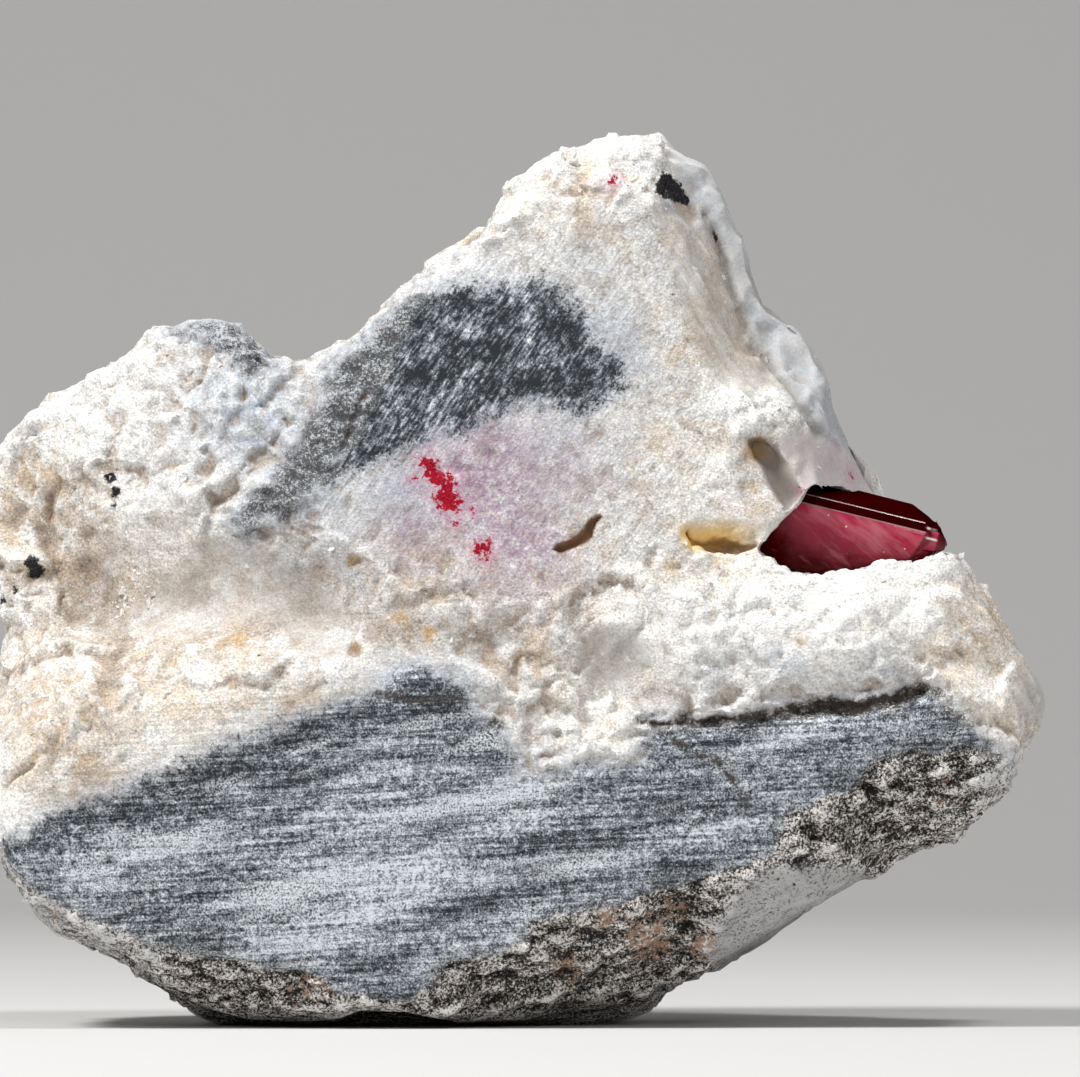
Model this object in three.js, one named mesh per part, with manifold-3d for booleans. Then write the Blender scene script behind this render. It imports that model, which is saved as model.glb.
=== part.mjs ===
// Cinnabar on matrix: one deep red cinnabar crystal in a pocket of white dolomite,
// on a broken and twice sawn piece of grey banded limestone.
// Millimetres. X runs to the right along the specimen's face, Y runs from the face to the
// back, Z is up. The origin is under the middle of the stone, on the surface it stands on.
import * as THREE from "three";
import { mergeVertices } from "three/addons/utils/BufferGeometryUtils.js";
import { ConvexGeometry } from "three/addons/geometries/ConvexGeometry.js";
import { ImprovedNoise } from "three/addons/math/ImprovedNoise.js";
import Module from "manifold-3d";

const wasm = await Module();
wasm.setup();
const noise = new ImprovedNoise();

// ---- Driving dimensions ----

// The stone's silhouette seen from the front, anticlockwise from the right end: [x, z].
const SILHOUETTE = [
  [31.4, 17.6], [33.2, 19.3], [33.2, 21.2], [31.4, 23.2], [29.8, 25.4], [28.6, 27.6],
  [28.1, 28.9], [27.0, 29.2], [24.4, 29.2], [23.9, 30.6], [23.8, 32.3], [22.6, 33.9],
  [21.0, 35.6], [19.4, 37.8], [19.8, 39.9], [18.4, 42.4], [17.3, 43.6], [15.8, 44.3],
  [14.9, 46.6], [14.5, 48.9], [13.4, 51.1], [13.2, 52.3], [12.1, 53.5], [10.0, 54.3],
  [8.1, 55.1], [6.3, 55.3], [4.6, 54.1], [2.6, 53.6], [0.2, 52.3], [-0.5, 50.9],
  [-1.8, 48.3], [-4.2, 47.0], [-7.0, 45.1], [-9.9, 42.4], [-12.4, 40.9], [-15.3, 41.1],
  [-16.6, 42.7], [-17.8, 43.8], [-19.5, 43.1], [-22.1, 42.7], [-24.4, 40.8], [-26.8, 39.6],
  [-29.6, 37.7], [-32.2, 35.8], [-33.3, 33.0], [-33.4, 30.2], [-32.0, 26.6], [-30.8, 24.0],
  [-31.3, 21.5], [-32.3, 18.4], [-32.1, 14.6], [-31.1, 10.4], [-30.2, 8.0], [-27.5, 6.2],
  [-24.7, 4.5], [-21.8, 2.6], [-19.0, 1.1], [-15.9, 0.2], [-10.6, 0.1], [-9.0, 0.9],
  [-6.2, 0.9], [-3.0, 0.0], [0.9, 0.1], [4.0, 1.0], [8.4, 1.2], [11.4, 2.9], [14.8, 4.7],
  [18.6, 7.2], [21.8, 8.8], [24.6, 10.6], [27.6, 11.6], [29.5, 13.3], [31.2, 15.2],
];
// The two flat faces that a saw left, where its marks still show: [x, z].
const LOWER_SAWN_FACE = [
  [-31.0, 10.4], [-31.4, 13.0], [-29.0, 15.4], [-25.4, 17.6], [-23.4, 20.0], [-19.2, 21.8],
  [-12.9, 22.4], [-9.6, 21.4], [-8.2, 19.9], [-3.3, 20.2], [-1.5, 18.6], [2.0, 15.9],
  [5.6, 16.0], [8.2, 17.4], [8.8, 18.6], [15.6, 19.0], [21.8, 20.0], [26.0, 20.6],
  [29.6, 17.8], [30.6, 16.6], [26.1, 17.5], [22.6, 17.0], [20.6, 14.6], [18.2, 11.8],
  [16.6, 9.2], [8.2, 8.0], [2.0, 6.6], [-0.2, 4.6], [-3.8, 3.8], [-6.0, 1.4],
  [-9.6, 2.0], [-12.6, 3.8], [-20.6, 4.6], [-27.6, 7.2],
];
const UPPER_SAWN_FACE = [
  [-11.2, 41.0], [-5.4, 45.4], [-1.0, 47.8], [1.2, 50.4], [8.2, 51.2], [9.2, 50.4],
  [10.0, 47.4], [11.4, 44.0], [14.4, 38.6], [13.8, 35.8], [11.6, 32.0], [9.6, 29.6],
  [5.4, 26.8], [-0.4, 26.2], [-5.4, 27.4], [-9.2, 29.4], [-13.0, 32.0], [-17.0, 31.0],
  [-15.4, 34.6], [-12.6, 37.4],
];
const UPPER_CUT = { y: -15.6, atZ: 22, leanBack: 0.26, turn: -0.05 }; // depth of the plane y(x, z)
const LOWER_CUT = { y: -14.7, atZ: 0, leanBack: -0.02, turn: 0.01 };
// The broken face at the left lies behind the cuts, from `rise` above the lower sawn face.
const LEFT_FACE = { y: -12.6, x: -15, slope: 0.38, z: 35, leanBack: 0.1, rise: 6.5 };
const FRONT_EDGE_STEP = { depth: 0.4, over: 1.1 }; // how the broken rock drops below a sawn face
const WEAR = 1.6; // over how many millimetres an edge between two faces is worn round
const FALL_AWAY = { above: 0.2, below: 1.05, highest: 17, lowest: 7 }; // slope of the broken rock
// The right side of the peak turns away from the face along an edge, as far down as the pocket.
// Each list is [z, value]: where the edge is, how steeply the wall starts and how it steepens.
const SIDE_WALL = {
  edge: [
    [31.4, 17.3], [33.0, 16.4], [35.2, 15.1], [36.3, 14.9], [37.4, 16.2], [38.4, 16.8],
    [39.4, 13.4], [41.3, 11.9], [46.6, 10.2], [51.6, 9.0], [56, 8.4],
  ],
  slope: [[36, 0.55], [39.5, 1.6]],
  steepening: [[36, 0.12], [39.5, 0]],
};
const SIDE_WALL_FOOT = { from: 29.5, to: 33.5 };
// A facet turns away from the face along a line through `at`, towards `along`, at `slope`.
const RIGHT_FACET = { at: [26.8, 26.2], along: [0.9, 0.44], slope: 1.15 };
const REAR_SLAB_Y = -4.8; // the front of the thinner rock that shows behind the side wall
// Soft hollows in the broken rock between the two sawn faces: [x, z], radius, depth. Where the
// depth is negative the rock swells forward instead, as the white layer does under the pocket.
const HOLLOWS = [
  { at: [-26.2, 28.2], radius: 3.0, depth: 1.6 }, { at: [-24.8, 24.2], radius: 2.6, depth: 2.6 },
  { at: [-19.6, 25.8], radius: 3.6, depth: 2.4 }, { at: [-12.6, 25.6], radius: 3.2, depth: 1.6 },
  { at: [3.6, 20.2], radius: 3.4, depth: 0.8 }, { at: [13.4, 23.6], radius: 4.4, depth: -1.2 },
  { at: [21.4, 24.6], radius: 4.2, depth: -1.5 }, { at: [-28.6, 20.4], radius: 3.8, depth: -2.6 },
  { at: [-24.6, 33.4], radius: 4.0, depth: -1.4 }, { at: [-16.8, 38.2], radius: 3.4, depth: -0.9 },
  { at: [-23.4, 21.2], radius: 2.2, depth: 1.2 },
];
// The seam of dark rock that has broken back under the white layer, and smaller pits.
const SEAM = [
  [8.1, 18.3], [9.4, 18.2], [10.8, 18.8], [12.8, 18.7], [15.0, 19.3], [17.4, 19.2], [19.6, 19.9],
  [22.0, 19.8], [24.2, 20.6], [26.2, 20.9], [25.4, 21.3], [23.8, 21.2], [21.6, 20.8], [19.0, 20.9],
  [17.0, 20.2], [14.4, 20.3], [12.4, 19.6], [10.6, 19.7], [9.0, 18.9],
];
const SEAM_DEPTH_Y = -13.7;
const PITS = [
  { at: [4.2, -14.6, 30.3], radii: [1.75, 1.5, 0.5], dip: -33 },
  { at: [-9.5, -14.9, 28.6], radii: [0.7, 1.2, 0.5], dip: 10 },
  { at: [-9.4, -14.8, 23.2], radii: [0.8, 1.3, 0.6], dip: 0 },
  { at: [-16.4, -11.6, 38.6], radii: [0.8, 1.2, 1.1], dip: 20 },
  { at: [-22.3, -9.2, 37.3], radii: [1.0, 1.4, 0.8], dip: -15 },
];

const BACK = { y: 16.6, lean: -0.08, turn: -0.04 }; // the broken back, before its facets
const RIM_SCALE = { front: 0.985, widest: 1, back: 0.93 }; // of the silhouette, from front to back
// Breaks around the back and sides. Each takes away the rock beyond a plane through `at` that
// faces `out`, and leaves a nearly flat, slightly lumpy face.
const BREAKS = [
  { at: [-20, 13.5, 22], out: [-0.62, 0.78, 0.06] }, { at: [-29.9, 6.8, 30], out: [-0.86, 0.4, 0.32] },
  { at: [-12, 12.0, 38], out: [-0.3, 0.66, 0.69] }, { at: [17, 12.2, 25], out: [0.66, 0.74, 0.12] },
  { at: [28.6, 5.8, 20], out: [0.82, 0.53, -0.2] }, { at: [9, 11.6, 40], out: [0.3, 0.84, 0.45] },
  { at: [17.6, 7.4, 38.8], out: [0.76, 0.42, 0.5] }, { at: [2, 7.8, 51], out: [-0.2, 0.6, 0.78] },
  { at: [-16, 11.4, 7.5], out: [-0.34, 0.6, -0.72] }, { at: [10, 12.4, 9], out: [0.3, 0.66, -0.69] },
  { at: [-27, 8.2, 10], out: [-0.62, 0.54, -0.57] }, { at: [22, 7.4, 11.5], out: [0.5, 0.45, -0.74] },
  { at: [-2, 14.9, 24], out: [0.1, 0.99, -0.12] }, { at: [-26.3, 5.7, 40.9], out: [-0.42, 0.36, 0.83] },
];
const BASE_BULGE = 1.8; // how far the underside swells down, before it is cut flat to stand on
const LUMPS = { front: 0.4, left: 0.9, side: 0.8, back: 1.3, breaks: 0.9, size: 7.5 };
const GRID = { across: 36, deep: 7, high: 32 }; // facets over the stone

const CRYSTAL = { at: [21.1, -8.2, 30.5], dip: 13.6 }; // its middle, and its lean to the right, degrees
// Corners of the crystal about its middle: along its length, from front to back, and up.
const CRYSTAL_CORNERS = [
  [-7.2, -2.4, 0.9], [4.45, -2.35, 0.9], [-7.2, -2.1, 1.5], [4.3, -2.05, 1.5],
  [-5.6, 1.9, 2.55], [3.3, 1.7, 2.45], [4.4, 1.3, 1.95], [5.3, 0.5, 1.4], [5.85, -0.5, 0.5],
  [5.3, -1.3, -0.1], [3.9, -2.2, -0.65], [2.4, -1.7, -3.1], [-6.4, -1.8, -3.2],
  [-6.8, 1.9, -2.9], [2.8, 1.7, -2.9], [4.9, 1.5, -0.8], [-7.6, 0.2, -0.6],
];
const TWIN_CORNERS = [
  [3.4, -1.9, 1.1], [5.2, -1.75, 1.15], [5.75, -1.0, 0.75], [5.8, -1.05, 0.15], [5.2, -1.85, -0.1],
  [3.6, -2.1, -0.2], [3.2, 0.9, 1.9], [5.0, 0.8, 1.7], [5.9, 0.1, 0.6], [4.6, 0.7, -0.8], [3.2, 0.4, -0.6],
];

const CAVITY = { at: [-0.9, 0.1, -0.7], radii: [7.6, 3.9, 3.9] }; // about the crystal's middle
const POCKET_BACK_Y = -5.2;
const FACE_Y = -20; // safely in front of the stone
// The pocket's opening: its lip below, and the slanting side of the wedge that hangs over its left.
const POCKET_MOUTH = [
  [15.1, 29.2], [16.2, 30.6], [17.2, 31.5], [18.4, 32.7], [19.4, 33.4], [22.4, 33.1], [30.5, 32.4],
  [30.5, 29.0], [28.2, 28.8], [26.9, 29.2], [25.0, 28.6], [23.0, 28.6], [21.2, 28.0], [19.2, 27.7],
  [17.4, 27.9], [16.0, 28.7],
];
// The crevice beside the wedge's root, and the mouth under the wedge.
const CREVICE = { at: [15.7, -12.6, 35.4], radii: [1.9, 2.6, 0.8], dip: 48 };
const SIDE_HOLE = { at: [12.9, -13.0, 29.95], radii: [2.3, 1.9, 0.95], dip: 10 };

const CLEARANCE = 0.3; // between pieces that touch
const CRUST = { thickness: 0.7, crystals: 60, size: 0.62, highest: 27.9, overLip: 0.3 };

// ---- Shapes ----

const line = (points) => points.map(([x, z]) => new THREE.Vector2(x, z));
const silhouette = new THREE.Path(line(SILHOUETTE)).closePath();
const lowerSawn = line(LOWER_SAWN_FACE);
const upperSawn = line(UPPER_SAWN_FACE);
const centre = new THREE.Vector2(0.7, 23.7); // a point that sees the whole silhouette
const HEART = new THREE.Vector3(0.7, 0, 23.7);

function smoothstep(from, to, value) {
  const t = THREE.MathUtils.clamp((value - from) / (to - from), 0, 1);
  return t * t * (3 - 2 * t);
}

// How far a point lies outside a closed outline; 0 inside it.
function distanceOutside(outline, x, z) {
  let inside = false;
  let nearest = Infinity;
  for (let i = 0, j = outline.length - 1; i < outline.length; j = i, i++) {
    const a = outline[j];
    const b = outline[i];
    if (a.y > z !== b.y > z && x < a.x + ((z - a.y) * (b.x - a.x)) / (b.y - a.y)) inside = !inside;
    const along = (x - a.x) * (b.x - a.x) + (z - a.y) * (b.y - a.y);
    const share = THREE.MathUtils.clamp(along / a.distanceToSquared(b), 0, 1);
    nearest = Math.min(nearest, Math.hypot(x - a.x - share * (b.x - a.x), z - a.y - share * (b.y - a.y)));
  }
  return inside ? 0 : nearest;
}

// The value at `position` of a line through [position, value] points.
function alongLine(points, position) {
  const last = points.length - 1;
  const i = THREE.MathUtils.clamp(points.findIndex(([at]) => at > position), 1, last);
  const end = position >= points[last][0] ? last : i;
  return THREE.MathUtils.mapLinear(position, points[end - 1][0], points[end][0], points[end - 1][1], points[end][1]);
}

// The same, held at the line's end values beyond its ends.
function held(points, position) {
  const last = points[points.length - 1][0];
  return alongLine(points, THREE.MathUtils.clamp(position, points[0][0], last));
}

// The larger of two depths, with the edge between them worn round.
function wornMax(a, b) {
  const near = Math.max(0, WEAR - Math.abs(a - b)) / WEAR;
  return Math.max(a, b) + (near * near * WEAR) / 4;
}

// How far past its edge line a facet has turned away; negative before the line.
function pastLine(facet, x, z) {
  return facet.slope * (facet.along[0] * (x - facet.at[0]) + facet.along[1] * (z - facet.at[1]));
}

function lumps(x, y, z) {
  const s = LUMPS.size;
  return noise.noise(x / s, y / s, z / s) + 0.45 * noise.noise((2.3 * x) / s, (2.3 * y) / s, (2.3 * z) / s);
}

// The depth of the specimen's face: two saw cuts, and broken rock behind them.
function faceDepth(x, z) {
  const upper = UPPER_CUT.y + UPPER_CUT.leanBack * (z - UPPER_CUT.atZ) + UPPER_CUT.turn * x;
  const lower = LOWER_CUT.y + LOWER_CUT.leanBack * (z - LOWER_CUT.atZ) + LOWER_CUT.turn * x;
  const cuts = Math.max(upper, lower);
  const aboveLower = distanceOutside(lowerSawn, x, z);
  const outside = Math.min(aboveLower, distanceOutside(upperSawn, x, z));
  const wholeLeft = LEFT_FACE.y + LEFT_FACE.slope * (LEFT_FACE.x - x) + LEFT_FACE.leanBack * (z - LEFT_FACE.z);
  const left = THREE.MathUtils.lerp(cuts - WEAR, wholeLeft, smoothstep(0, LEFT_FACE.rise, aboveLower));
  const fall = THREE.MathUtils.lerp(
    FALL_AWAY.below, FALL_AWAY.above, smoothstep(FALL_AWAY.lowest, FALL_AWAY.highest, z),
  );
  const step = FRONT_EDGE_STEP.depth * (1 - Math.exp(-outside / FRONT_EDGE_STEP.over));
  let broken = step + (fall * outside ** 2) / (outside + 1.2);
  const rough = smoothstep(0, 2, outside);
  const lumpy = THREE.MathUtils.lerp(LUMPS.front, LUMPS.left, smoothstep(-14, -22, x));
  for (const { at, radius, depth } of HOLLOWS) {
    broken += rough * depth * Math.exp(-((x - at[0]) ** 2 + (z - at[1]) ** 2) / radius ** 2);
  }
  const past = x - alongLine(SIDE_WALL.edge, z);
  const turned = held(SIDE_WALL.slope, z) * past + held(SIDE_WALL.steepening, z) * past * Math.abs(past);
  const standing = smoothstep(SIDE_WALL_FOOT.from, SIDE_WALL_FOOT.to, z);
  const wall = cuts + THREE.MathUtils.lerp(-WEAR, turned, standing);
  const facet = cuts + pastLine(RIGHT_FACET, x, z);
  const worn = [wall, facet, left + broken].reduce(wornMax, cuts + broken);
  const y = worn + rough * lumpy * lumps(x, 0, z);
  return Math.min(y, REAR_SLAB_Y + 0.5 * LUMPS.front * lumps(x, 9, z));
}

function backDepth(x, z) {
  return BACK.y + BACK.lean * z + BACK.turn * x + LUMPS.back * lumps(x, 20, z);
}

// Places a point of the box from -1 to 1 (across, deep, high) on the stone. Its front and back
// become the face and the broken back, and its four sides the rim between them.
function ontoStone(point) {
  const { x: across, y: deep, z: high } = point;
  const ring = Math.max(Math.abs(across), Math.abs(high));
  const u = ring ? across / ring : 1;
  const v = ring ? high / ring : 0;
  const onSide = Math.abs(u) >= Math.abs(v);
  const around = onSide ? (u > 0 ? v : 4 - v) : v > 0 ? 2 - u : 6 + u;
  const fromCentre = silhouette.getPointAt(((around + 8) % 8) / 8).sub(centre).multiplyScalar(ring);
  const depth = (deep + 1) / 2;
  const front = faceDepth(...centre.clone().addScaledVector(fromCentre, RIM_SCALE.front));
  const back = backDepth(...centre.clone().addScaledVector(fromCentre, RIM_SCALE.back));
  const y = THREE.MathUtils.lerp(front, Math.max(back, front + 3), depth);
  const bulge = depth < 0.3
    ? THREE.MathUtils.lerp(RIM_SCALE.front, RIM_SCALE.widest, smoothstep(0, 0.3, depth))
    : THREE.MathUtils.lerp(RIM_SCALE.widest, RIM_SCALE.back, smoothstep(0.45, 1, depth));
  const spot = centre.clone().addScaledVector(fromCentre, bulge);
  const onRim = Math.sin(Math.PI * depth);
  const swell = 1 + (LUMPS.side * onRim * lumps(spot.x, y, spot.y)) / 28;
  spot.sub(centre).multiplyScalar(swell).add(centre);
  const base = smoothstep(2.2, 0.4, spot.y) * Math.min(1, 2.2 * onRim);
  breakOff(point.set(spot.x, y, spot.y - BASE_BULGE * base));
  point.z = Math.max(0, point.z);
}

// Draws a point that lies beyond a break in towards the stone's heart, onto the broken face.
function breakOff(point) {
  const arm = point.clone().sub(HEART);
  const lumpy = LUMPS.breaks * lumps(1.3 * point.x, 1.3 * point.y, 1.3 * point.z);
  let reach = 1;
  for (const { at, out } of BREAKS) {
    const facing = new THREE.Vector3(...out).normalize();
    const room = facing.dot(new THREE.Vector3(...at).sub(HEART)) + lumpy;
    const wanted = facing.dot(arm);
    if (wanted > room) reach = Math.min(reach, room / wanted);
  }
  point.copy(HEART).addScaledVector(arm, reach);
}

function stoneGeometry() {
  const geometry = new THREE.BoxGeometry(2, 2, 2, GRID.across, GRID.deep, GRID.high);
  const position = geometry.getAttribute("position");
  const point = new THREE.Vector3();
  for (let i = 0; i < position.count; i++) {
    ontoStone(point.fromBufferAttribute(position, i));
    position.setXYZ(i, point.x, point.y, point.z);
  }
  return geometry;
}

// An egg-shaped hollow with a slightly uneven wall.
function eggGeometry(radii, unevenness, detail = 4) {
  const geometry = new THREE.IcosahedronGeometry(1, detail);
  const position = geometry.getAttribute("position");
  const point = new THREE.Vector3();
  for (let i = 0; i < position.count; i++) {
    point.fromBufferAttribute(position, i).normalize();
    const swell = 1 + unevenness * noise.noise(3 * point.x, 3 * point.y, 3 * point.z);
    position.setXYZ(i, swell * radii[0] * point.x, swell * radii[1] * point.y, swell * radii[2] * point.z);
  }
  return geometry;
}

// The solid behind a front outline, from well before the stone back to `backY`.
function prism(outline, backY) {
  const geometry = new THREE.ExtrudeGeometry(new THREE.Shape(line(outline)), {
    depth: backY - FACE_Y,
    bevelEnabled: false,
  });
  return geometry.rotateX(Math.PI / 2).translate(0, backY, 0);
}

// ---- Joining and cutting ----

function toSolid(geometry, placed = new THREE.Matrix4()) {
  const bare = geometry.clone().applyMatrix4(placed);
  for (const name of Object.keys(bare.attributes)) {
    if (name !== "position") bare.deleteAttribute(name);
  }
  const merged = mergeVertices(bare, 1e-4);
  return new wasm.Manifold(new wasm.Mesh({
    numProp: 3,
    vertProperties: merged.attributes.position.array,
    triVerts: new Uint32Array(merged.index.array),
  }));
}

function toGeometry(solid) {
  const { vertProperties, triVerts } = solid.getMesh();
  const geometry = new THREE.BufferGeometry();
  geometry.setAttribute("position", new THREE.BufferAttribute(vertProperties, 3));
  geometry.setIndex(new THREE.BufferAttribute(triVerts, 1));
  geometry.computeVertexNormals();
  return geometry;
}

function placedAt([x, y, z], dip) {
  const turn = new THREE.Matrix4().makeRotationY(THREE.MathUtils.degToRad(dip));
  return new THREE.Matrix4().makeTranslation(x, y, z).multiply(turn);
}

const corners = (list, grow = 1) =>
  new ConvexGeometry(list.map(([x, y, z]) => new THREE.Vector3(x, y, z).multiplyScalar(grow)));

const crystalFrame = placedAt(CRYSTAL.at, CRYSTAL.dip);

function crystalSolid() {
  return toSolid(corners(CRYSTAL_CORNERS), crystalFrame).add(toSolid(corners(TWIN_CORNERS), crystalFrame));
}

// The room that the crystal keeps free around itself.
function crystalRoom() {
  const grow = 1 + CLEARANCE / 2.4;
  return toSolid(corners(CRYSTAL_CORNERS, grow), crystalFrame).add(toSolid(corners(TWIN_CORNERS, grow), crystalFrame));
}

function cavitySolid(shrink) {
  const radii = CAVITY.radii.map((radius) => radius - shrink);
  const shift = new THREE.Matrix4().makeTranslation(...CAVITY.at);
  return toSolid(eggGeometry(radii, 0.05), crystalFrame.clone().multiply(shift));
}

function matrixSolid() {
  let stone = toSolid(stoneGeometry());
  for (const pit of PITS) {
    stone = stone.subtract(toSolid(eggGeometry(pit.radii, 0.08, 2), placedAt(pit.at, pit.dip)));
  }
  for (const hollow of [CREVICE, SIDE_HOLE]) {
    stone = stone.subtract(toSolid(eggGeometry(hollow.radii, 0.12, 3), placedAt(hollow.at, hollow.dip)));
  }
  return stone
    .subtract(toSolid(prism(SEAM, SEAM_DEPTH_Y)))
    .subtract(toSolid(prism(POCKET_MOUTH, POCKET_BACK_Y)))
    .subtract(cavitySolid(0))
    .subtract(crystalRoom());
}

// A small rhombohedron, as dolomite grows it: a cube drawn out along one diagonal.
function rhombGeometry(size) {
  const shear = new THREE.Matrix4().makeShear(0.28, 0.28, 0.28, 0.28, 0.28, 0.28);
  return new THREE.BoxGeometry(size, size, size).applyMatrix4(shear);
}

// The room above the pocket's lip, down to `over` above it.
function roomAboveLip(over) {
  const lip = POCKET_MOUTH.slice(8).map(([x, z]) => [x, z + over]);
  return toSolid(prism([...lip, [10, 29.2 + over], [10, 50], [40, 50], [40, 28.8 + over]], -FACE_Y));
}

// Small rhombs set over the lower part of the pocket's wall.
function crustCrystals() {
  const shift = new THREE.Matrix4().makeTranslation(...CAVITY.at);
  const turned = new THREE.Euler();
  const crystals = [];
  for (let i = 0; i < CRUST.crystals; i++) {
    const around = i * 2.399963;
    const down = THREE.MathUtils.lerp(0.35, 0.98, (i + 0.5) / CRUST.crystals);
    const out = Math.sqrt(1 - down * down);
    const spot = [out * Math.cos(around), out * Math.sin(around), -down];
    const inset = spot.map((share, axis) => share * (CAVITY.radii[axis] - CLEARANCE - CRUST.thickness));
    const turn = new THREE.Matrix4().makeRotationFromEuler(turned.set(1.7 * i, 2.9 * i, 0.8 * i));
    const place = crystalFrame.clone().multiply(shift).multiply(new THREE.Matrix4().makeTranslation(...inset));
    const height = place.elements[14];
    if (height > CRUST.highest) continue;
    crystals.push(toSolid(rhombGeometry(CRUST.size * (1 + 0.4 * Math.sin(5 * i))), place.multiply(turn)));
  }
  return crystals;
}

// The skin of small dolomite crystals on the pocket's floor, fused to each other.
function crustSolid() {
  const bowl = cavitySolid(CLEARANCE).subtract(cavitySolid(CLEARANCE + CRUST.thickness));
  let crust = bowl.subtract(roomAboveLip(0));
  for (const crystal of crustCrystals()) crust = crust.add(crystal);
  return crust.subtract(roomAboveLip(CRUST.overLip)).intersect(cavitySolid(CLEARANCE)).subtract(crystalRoom());
}

// ---- The specimen ----

function piece(name, solid, color, roughness) {
  const material = new THREE.MeshStandardMaterial({ color, roughness, metalness: 0, flatShading: true });
  const mesh = new THREE.Mesh(toGeometry(solid), material);
  mesh.name = name;
  return mesh;
}

const specimen = new THREE.Group();
specimen.name = "cinnabar_on_matrix";
specimen.add(piece("matrix", matrixSolid(), 0xc9c4bc, 0.85));
specimen.add(piece("pocket_crust", crustSolid(), 0xe8e0d2, 0.55));
specimen.add(piece("cinnabar_crystal", crystalSolid(), 0x8c0a16, 0.12));

export default specimen;
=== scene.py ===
import math

import bmesh
import bpy
import numpy as np
from mathutils import Matrix, Vector


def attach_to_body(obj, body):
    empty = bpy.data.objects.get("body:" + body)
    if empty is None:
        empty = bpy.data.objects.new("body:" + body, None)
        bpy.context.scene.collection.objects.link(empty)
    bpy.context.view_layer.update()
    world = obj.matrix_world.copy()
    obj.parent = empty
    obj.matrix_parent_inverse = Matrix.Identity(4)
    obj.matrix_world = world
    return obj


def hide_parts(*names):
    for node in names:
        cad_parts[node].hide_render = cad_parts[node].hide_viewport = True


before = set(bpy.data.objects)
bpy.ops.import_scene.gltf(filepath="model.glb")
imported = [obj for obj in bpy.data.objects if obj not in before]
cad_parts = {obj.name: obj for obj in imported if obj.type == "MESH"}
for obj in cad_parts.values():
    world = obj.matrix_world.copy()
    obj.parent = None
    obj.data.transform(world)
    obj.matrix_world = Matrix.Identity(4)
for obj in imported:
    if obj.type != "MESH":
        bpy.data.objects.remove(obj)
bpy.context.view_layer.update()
MM = 0.001

# ==== The stone ====
# One natural stone: sugary white dolomite grown together with grey banded limestone, broken all
# round and cut twice by a saw on its display face. It stands on the flat under its lower edge.
# All its sizes here are millimetres; the finished mesh is turned to metres at the end.

SURFACE_STEP = 0.21
MOST_TRIANGLES = 194000
WIDE_BLOCK, BLOCK, FINE_BLOCK = 3.6, 1.5, 0.66  # cleavage blocks of the dolomite
FLAKE = 0.9  # of the broken limestone
COBBLE = 0.95  # lumps of the pocket's lip and of the white band below it
SEAM_DEPTH, SLOT_DEPTH, GROOVE_DEPTH = 0.4, 0.8, 0.25


def mesh_of_node(name):
    """The node's closed solid as a mesh in millimetres, with its doubled points welded."""
    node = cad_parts[name]
    work = bmesh.new()
    work.from_mesh(node.data)
    work.transform(Matrix.Scale(1 / MM, 4) @ node.matrix_world)
    bmesh.ops.remove_doubles(work, verts=work.verts, dist=0.0005)
    bmesh.ops.dissolve_limit(
        work, angle_limit=math.radians(0.5), verts=work.verts, edges=work.edges)
    mesh = bpy.data.meshes.new(name + "_solid")
    work.to_mesh(mesh)
    work.free()
    return mesh


def placed(name, data):
    """A new object in the scene."""
    made = bpy.data.objects.new(name, data)
    bpy.context.scene.collection.objects.link(made)
    return made


def shaped(mesh, name, *modifiers, group=None):
    """A new mesh: the given one after modifiers, each a (type, settings) pair. A group gives a
    weight to each point, for the modifiers that ask for one."""
    holder = placed(name, mesh)
    if group:
        weights = holder.vertex_groups.new(name=group[0])
        for level in np.unique(group[1]):
            weights.add(np.flatnonzero(group[1] == level).tolist(), float(level), "REPLACE")
    for kind, settings in modifiers:
        modifier = holder.modifiers.new(kind, kind)
        for setting, value in settings.items():
            setattr(modifier, setting, value)
    seen = holder.evaluated_get(bpy.context.evaluated_depsgraph_get())
    made = bpy.data.meshes.new_from_object(seen)
    bpy.data.objects.remove(holder)
    return made


def read(rows, word, columns, kind):
    flat = np.empty(columns * len(rows), kind)
    rows.foreach_get(word, flat)
    return flat.reshape(-1, columns)


def points_of(mesh):
    return read(mesh.vertices, "co", 3, np.float32)


def normals_of(mesh):
    return read(mesh.vertex_normals, "vector", 3, np.float32)


def edges_of(mesh):
    return read(mesh.edges, "vertices", 2, np.int32)


def attach(mesh, name, values, domain="POINT"):
    """Keeps a value for each point or face of a mesh under a name."""
    made = mesh.attributes.new(name, "FLOAT", domain)
    made.data.foreach_set("value", np.ascontiguousarray(values, np.float32))


def set_points(mesh, points):
    mesh.vertices.foreach_set("co", np.ascontiguousarray(points, np.float32).ravel())
    mesh.update()


def evened(values, edges, times, share=None):
    """Each point's values drawn towards its neighbours', so many times over, by its own share."""
    values = np.array(values, np.float64)
    columns = values.reshape(len(values), -1)
    a, b = edges[:, 0], edges[:, 1]
    count = np.bincount(edges.ravel(), minlength=len(columns))
    share = np.ones(len(columns)) if share is None else share
    for _ in range(times):
        for axis in range(columns.shape[1]):
            column = columns[:, axis]
            total = np.bincount(a, column[b], len(column)) + np.bincount(b, column[a], len(column))
            columns[:, axis] = column + share * 0.6 * (total / count - column)
    return columns.reshape(values.shape)


def ramp(low, high, value):
    t = np.clip((value - low) / (high - low), 0, 1)
    return t * t * (3 - 2 * t)


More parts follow.
